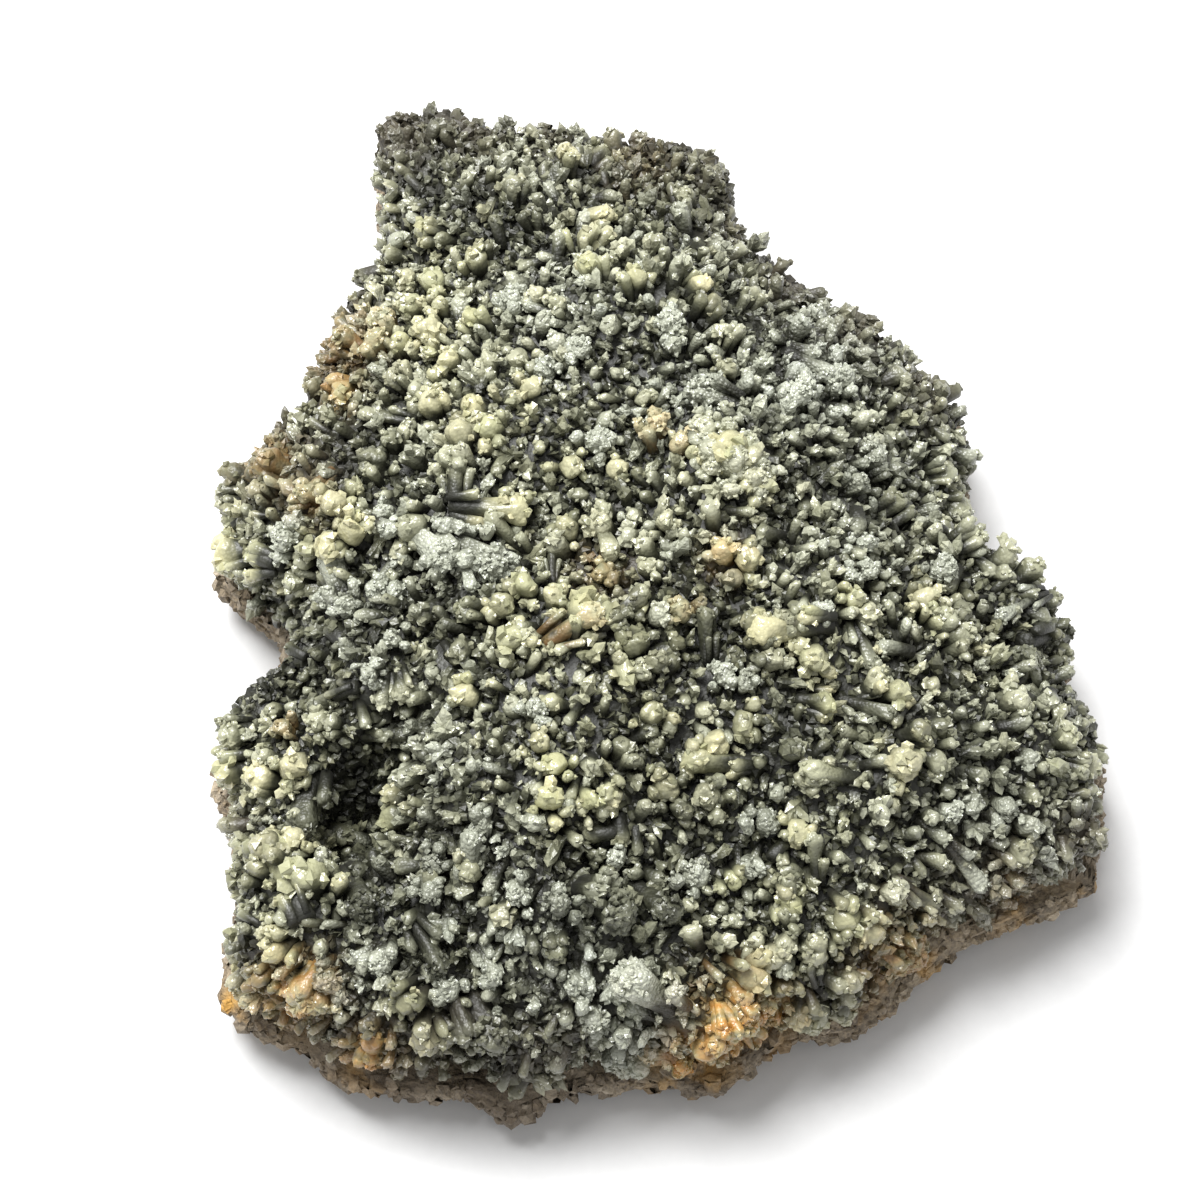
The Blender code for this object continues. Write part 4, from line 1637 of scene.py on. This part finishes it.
@dataclass
class DressedFingers:
    """Fingers drawn out as meshes, with the small crystals that grow on their ends."""

    growth: Growth
    zones: Zones
    rng: np.random.Generator
    sunk: float = 1.2
    # Shares of a finger's radius that its end is bent aside and that it is flattened to,
    # and how much of its colour one finger has.
    bend: float = 0.25
    flat: tuple[float, float] = (0.75, 1.0)
    lime_shares: tuple[float, float] = (0.55, 1.0)
    # The end's crystals: how far they gather on its tip, how far out they stand and sink
    # in, and how much their sizes and tones differ.
    tipward: float = 0.7
    crystal_out: float = 1.0
    crystal_sink: float = 0.65
    crystal_spread: tuple[float, float] = (0.7, 1.3)
    tone_spread: float = 0.3

    def end_crystals(self, finger: Finger, end: np.ndarray, look: dict[str, float]) -> Crystals:
        """Scatters small crystals over a finger's end.

        Args:
            finger: The finger.
            end: The middle of its round end.
            look: The finger's traits.

        Returns:
            The crystals.
        """
        count = round(finger.look.crystals * finger.radius**2)
        away = unit(self.rng.normal(size=(count, 3)) + finger.way * self.tipward)
        out = self.crystal_out - self.crystal_sink * finger.look.crystal_share
        places = end + away * finger.radius * out
        size = finger.look.crystal_share * finger.radius
        sizes = self.rng.uniform(*self.crystal_spread, count) * size
        traits = {trait: np.full(count, look[trait]) for trait in TRAITS}
        tones = look["tone"] + self.rng.normal(size=count) * self.tone_spread
        traits["tone"] = np.clip(tones, 0, 1)
        return Crystals(places, away, sizes, traits)

    def draw(self, name: str, fingers: list[Finger], shapes: FingerShapes,
             crystals: list[Template]) -> tuple[Heap, Heap]:
        """Draws fingers, and the small crystals on their ends, into two meshes.

        Args:
            name: The meshes' name.
            fingers: The fingers.
            shapes: The kinds of end to choose from.
            crystals: The small crystals to choose from.

        Returns:
            The gathered fingers and the gathered small crystals.
        """
        heap, on_ends = Heap(f"{name}_fingers"), Heap(f"{name}_end_crystals")
        looks = self.zones.look(np.array([finger.root for finger in fingers]))
        below = self.growth.bed.drop
        grown = []
        for i, finger in enumerate(fingers):
            length = finger.length + below
            bend = self.rng.normal(size=2) * finger.radius * self.bend
            points, rise = shapes.grown(
                int(self.rng.integers(shapes.kinds)), finger.radius, length, self.sunk,
                self.rng.uniform(*self.flat), bend,
            )
            turn = turned(finger.way, self.rng.uniform(0, math.tau))
            foot = finger.root - finger.way * below
            light = (1 - DIMMING * looks["dim"][i]) * (1 - finger.look.shade)
            look = {
                "rise": light, "tone": self.rng.random(),
                "lime": finger.look.lime * self.rng.uniform(*self.lime_shares),
                "frost": finger.look.frost,
                "stain": max(finger.look.stain, looks["stain"][i]), "soil": looks["soil"][i],
            }
            heap.add(points @ turn + foot, shapes.faces, **{**look, "rise": rise * light})
            end = foot + np.append(bend, length - finger.radius) @ turn
            grown.append(self.end_crystals(finger, end, look))
        on_ends.add_copies(crystals, Crystals.joined(grown), self.rng)
        return heap, on_ends


@dataclass
class Bunches:
    """Bunches of prisms that fan out from one root, where no round finger stands."""

    growth: Growth
    zones: Zones
    rng: np.random.Generator
    mould: Mould = Mould(6, tall=2.2)
    count: int = 7
    spread: float = 0.42
    # Shares of a bunch's radius: its prisms' radii, and how far out they stand, less a share
    # of the bed's drop.
    thickness: tuple[float, float] = (0.38, 0.62)
    stand: tuple[float, float] = (0.2, 1.0)
    sink: float = 0.4
    # How light its prisms are, and how much their tones differ.
    lightness: tuple[float, float] = (0.6, 1.1)
    tone_spread: float = 0.3

    def draw(self, name: str, fingers: list[Finger]) -> Heap:
        """Draws a bunch in the place of each of some fingers.

        Args:
            name: The mesh's name.
            fingers: The roots, ways and radii of the bunches.

        Returns:
            The gathered mesh.
        """
        templates = self.mould.cast(self.rng)
        count = self.count
        roots = np.repeat([finger.root for finger in fingers], count, axis=0)
        middle = np.repeat([finger.way for finger in fingers], count, axis=0)
        radii = np.repeat([finger.radius for finger in fingers], count)
        ways = unit(middle + self.rng.normal(size=roots.shape) * self.spread)
        sizes = radii * self.rng.uniform(*self.thickness, len(radii))
        tiers = [self.growth.tiers.at(*finger.root[:2]) for finger in fingers]
        stand = self.rng.uniform(*self.stand, len(radii)) + np.repeat(tiers, count)
        stand = stand * radii - self.sink * self.growth.bed.drop
        looks = self.zones.look(roots)
        light = self.rng.uniform(*self.lightness, len(radii))
        tones = np.repeat(self.rng.random(len(fingers)), count)
        tones += self.rng.normal(size=len(radii)) * self.tone_spread
        traits = {
            trait: np.repeat([getattr(finger.look, trait) for finger in fingers], count)
            for trait in ("lime", "frost", "stain")
        }
        traits["rise"] = (1 - DIMMING * looks["dim"]) * light
        traits["soil"] = looks["soil"]
        traits["tone"] = np.clip(tones, 0, 1)
        heap = Heap(name)
        prisms = Crystals(roots + ways * stand[:, None], ways, sizes, traits)
        heap.add_copies(templates, prisms, self.rng)
        return heap


@dataclass
class Fingers:
    """All the finger crystals: those that the photograph shows, and more between them."""

    view: View
    bed: Bed
    zones: Zones
    rng: np.random.Generator
    # The share of the fingers between that are bunches of prisms.
    bunch_share: float = 0.6
    # The plain ends: points around, rings, kinds, lobes and waist.
    plain: dict[str, float] = field(default_factory=lambda: {
        "around": 9, "levels": 7, "kinds": 14, "lobes": 7, "waist": 0.12
    })
    end_mould: Mould = Mould(4)

    def build(self, dress: Dress) -> None:
        """Makes the bunches, the shown fingers, and the others in two parts.

        Args:
            dress: What the meshes share.
        """
        growth = Growth(self.view, self.bed)
        shown = ShownFingers(growth).find()
        between = FillingFingers(growth, self.zones, self.rng).grow(shown)
        bunched = self.rng.random(len(between)) < self.bunch_share
        bunches = [finger for finger, is_bunch in zip(between, bunched) if is_bunch]
        others = [finger for finger, is_bunch in zip(between, bunched) if not is_bunch]
        others += SideFingers(growth, self.rng).grow(shown)
        LOG.info("%d shown, %d bunches, %d others", len(shown), len(bunches), len(others))
        lobed = FingerShapes(self.rng)
        plain = FingerShapes(self.rng, **self.plain)
        small = self.end_mould.cast(self.rng)
        dress.wear(Bunches(growth, self.zones, self.rng).draw("bunches", bunches), False)
        drawing = DressedFingers(growth, self.zones, self.rng)
        for name, fingers, shapes in (
            ("knob", shown, lobed),
            ("left", [finger for finger in others if finger.root[0] < 0], plain),
            ("right", [finger for finger in others if finger.root[0] >= 0], plain),
        ):
            heap, on_ends = drawing.draw(name, fingers, shapes, small)
            dress.wear(heap, True)
            dress.wear(on_ends, False)


@dataclass(frozen=True)
class Scatter:
    """A sort of small crystal that is scattered over the bed."""

    name: str
    count: int
    radii: tuple[float, float]
    mould: Mould
    rise: tuple[float, float]
    tilt: float


@dataclass
class Druse:
    """The crystals that cover the bed between the fingers."""

    bed: Bed
    zones: Zones
    rng: np.random.Generator
    sorts: tuple[Scatter, ...] = (
        Scatter("stubby_crystals", 8600, (0.6, 1.3), Mould(5), (0.3, 1.0), 0.5),
        Scatter("bladed_crystals", 7800, (0.5, 1.1), Mould(4, (0.3, 0.6)), (0.2, 0.95), 0.8),
        Scatter("splinter_crystals", 7000, (0.6, 1.2), Mould(3, (0.5, 1.0)), (0.2, 1.0), 0.6),
    )
    lowest: float = 11.5
    lowest_slope: float = -0.45
    # How rare the large ones and the light ones are, and how far out they stand.
    size_rarity: float = 1.5
    light_rarity: float = 2.0
    stand: float = 0.5
    lime: Mixture = Mixture(0.4, 0.15, 1)
    frost: Mixture = Mixture(0.7, 0.3, 2)
    stain: float = 0.7
    # The bed's own rise and tone, and the share that it has of each patch. Its low rise makes
    # it dark: partly the druse's own dark grey, partly painted shade in the gaps between the
    # crystals.
    bed_rise: float = 0.1
    bed_tone: float = 0.5
    bed_shares: dict[str, float] = field(default_factory=lambda: {
        "lime": 0.2, "frost": 0.3, "stain": 0.5, "soil": 1.0
    })

    def scatter(self, sort: Scatter) -> Heap:
        """Scatters one sort of crystal over the bed.

        Args:
            sort: The sort.

        Returns:
            The gathered mesh.
        """
        points, normals = self.bed.sample(self.rng, sort.count, self.lowest, self.lowest_slope)
        looks = self.zones.look(points)
        ways = unit(normals + self.rng.normal(size=points.shape) * sort.tilt)
        small, large = sort.radii
        sizes = small + (large - small) * self.rng.random(sort.count) ** self.size_rarity
        bright = self.rng.random(sort.count) ** self.light_rarity
        low, high = sort.rise
        traits = {
            "rise": (low + (high - low) * bright) * (1 - DIMMING * looks["dim"]),
            "tone": self.rng.random(sort.count),
            "lime": self.lime.at(looks["lime"], bright),
            "frost": self.frost.at(looks["frost"], bright),
            "stain": looks["stain"] * self.stain,
            "soil": looks["soil"],
        }
        crystals = Crystals(points + ways * sizes[:, None] * self.stand, ways, sizes, traits)
        heap = Heap(sort.name)
        heap.add_copies(sort.mould.cast(self.rng), crystals, self.rng)
        return heap

    def bed_heap(self) -> Heap:
        """Gathers the bed's own surface.

        Returns:
            The gathered mesh.
        """
        heap = Heap("druse_bed")
        looks = self.zones.look(self.bed.skin.points)
        shares = {name: looks[name] * share for name, share in self.bed_shares.items()}
        heap.add(
            self.bed.skin.points, self.bed.skin.faces, rise=self.bed_rise,
            tone=self.bed_tone, **shares,
        )
        return heap

    def build(self, dress: Dress) -> None:
        """Makes the bed and its crystals.

        Args:
            dress: What the meshes share.
        """
        dress.wear(self.bed_heap(), True)
        for sort in self.sorts:
            dress.wear(self.scatter(sort), False)


@dataclass
class MatrixSlab:
    """The broken slab of rock under the crust."""

    form: Form
    zones: Zones
    rng: np.random.Generator
    fineness: int = 6
    ledges: Swell = Swell(5.0, 2.0)
    pits: Swell = Swell(2.0, 1.1)
    tone: float = 0.5
    # Lumps of rock on the broken sides: how many, their sizes and how rare the large ones
    # are, how low they start, how far up the sides face, and how far they tilt and sink.
    lumps: int = 3600
    lump_mould: Mould = Mould(5, tall=0.8, kinds=12)
    lump_radii: tuple[float, float] = (0.6, 1.9)
    lump_rarity: float = 2.0
    lumps_from: float = 1.6
    side_slope: float = 0.8
    lump_tilt: float = 0.4
    lump_sink: float = 0.1

    def slab_skin(self) -> Skin:
        """Makes the slab's rough surface, which is flat where it rests.

        Returns:
            The surface.
        """
        bm = self.form.ball(self.fineness, self.form.slab_squareness, self.form.slab_place)
        for vert, normal in [(vert, vert.normal.copy()) for vert in bm.verts]:
            vert.co += normal * (self.ledges.around(vert.co) + self.pits.around(vert.co))
            vert.co.z = max(vert.co.z, 0.0)
        return Skin.of(bm)

    def lump_heap(self, skin: Skin) -> Heap:
        """Scatters angular lumps of rock over the slab's broken sides.

        Args:
            skin: The slab's surface.

        Returns:
            The gathered mesh.
        """
        usable = skin.corners[:, :, 2].min(axis=1) > self.lumps_from
        chosen = skin.pick(self.rng, self.lumps, usable & (skin.normals[:, 2] < self.side_slope))
        tilts = self.rng.normal(size=(self.lumps, 3)) * self.lump_tilt
        ways = unit(skin.normals[chosen] + tilts)
        small, large = self.lump_radii
        sizes = small + (large - small) * self.rng.random(self.lumps) ** self.lump_rarity
        places = skin.corners[chosen].mean(axis=1) - ways * sizes[:, None] * self.lump_sink
        looks = self.zones.look(places)
        # Soil holds the rock's darker parts, partly painted shade along its edge.
        traits = {
            "rise": self.rng.random(self.lumps), "tone": self.rng.random(self.lumps),
            "stain": looks["stain"], "soil": looks["dark_rock"],
        }
        heap = Heap("matrix_crumbs")
        templates = self.lump_mould.cast(self.rng)
        heap.add_copies(templates, Crystals(places, ways, sizes, traits), self.rng)
        return heap

    def build(self, dress: Dress) -> None:
        """Makes the slab and its lumps.

        Args:
            dress: What the meshes share.
        """
        skin = self.slab_skin()
        looks = self.zones.look(skin.points)
        slab = Heap("matrix_slab")
        # Soil holds the rock's darker parts, partly painted shade along its edge.
        slab.add(
            skin.points, skin.faces, rise=self.tone, tone=self.tone,
            stain=looks["stain"], soil=looks["dark_rock"],
        )
        dress.wear(slab, True)
        dress.wear(self.lump_heap(skin), False)


@dataclass
class Studio:
    """White paper, soft light from above and behind, and the camera."""

    view: View
    paper_size: float = 3.0
    paper_squares: int = 8
    sky: float = 0.57
    key_power: float = 14.6
    key_size: float = 0.45
    key_place: tuple[float, float, float] = (-0.22, 0.24, 0.8)
    sensor_mm: float = 36.0
    near_m: float = 0.01

    def lay_paper(self, material: bpy.types.Material) -> None:
        """Makes the sheet of paper that the specimen lies on.

        Args:
            material: The paper's finish.
        """
        bm = bmesh.new()
        squares = self.paper_squares
        bmesh.ops.create_grid(
            bm, x_segments=squares, y_segments=squares, size=self.paper_size / 2
        )
        mesh = bpy.data.meshes.new("paper")
        bm.to_mesh(mesh)
        bm.free()
        mesh.materials.append(material)
        floor = bpy.data.objects.new("paper", mesh)
        bpy.context.scene.collection.objects.link(floor)

    def light(self) -> None:
        """Lights the paper with a white sky and one soft lamp."""
        world = bpy.data.worlds.new("sky")
        world.use_nodes = True
        background = world.node_tree.nodes["Background"]
        background.inputs["Color"].default_value = (1, 1, 1, 1)
        background.inputs["Strength"].default_value = self.sky
        bpy.context.scene.world = world
        key = bpy.data.lights.new("key", "AREA")
        key.energy = self.key_power
        key.size = self.key_size
        lamp = bpy.data.objects.new("key", key)
        lamp.location = self.key_place
        lamp.rotation_euler = (-Vector(self.key_place)).to_track_quat("-Z", "Y").to_euler()
        bpy.context.scene.collection.objects.link(lamp)

    def place_camera(self) -> None:
        """Puts the camera where the photograph was taken from."""
        camera = bpy.data.cameras.new("camera")
        camera.sensor_width = self.sensor_mm
        camera.lens = self.sensor_mm * self.view.distance * self.view.pixels_per_mm
        camera.lens /= self.view.pixels
        camera.clip_start = self.near_m
        holder = bpy.data.objects.new("camera", camera)
        holder.location = self.view.eye * MM
        holder.rotation_euler = self.view.forward.to_track_quat("-Z", "Y").to_euler()
        bpy.context.scene.collection.objects.link(holder)
        bpy.context.scene.camera = holder

    def build(self, paper: bpy.types.Material) -> None:
        """Makes the floor, the lights and the camera.

        Args:
            paper: The paper's finish.
        """
        bpy.context.scene.view_settings.view_transform = "Standard"
        self.lay_paper(paper)
        self.light()
        self.place_camera()


def main() -> None:
    """Builds the specimen from the matrix up, then the studio round it."""
    logging.basicConfig(level=logging.INFO, format="%(message)s")
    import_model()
    rng = np.random.default_rng(SEED)
    view = View()
    form = Form(view)
    zones = Zones(view)
    prehnite = Dress("prehnite_crust", "prehnite", PrehniteFinish().make())
    rock = Dress("matrix", "matrix_rock", MatrixFinish().make())
    MatrixSlab(form, zones, rng).build(rock)
    bed = Bed(form)
    Fingers(view, bed, zones, rng).build(prehnite)
    Druse(bed, zones, rng).build(prehnite)
    Studio(view).build(PaperFinish().make())


if __name__ == "__main__":
    main()
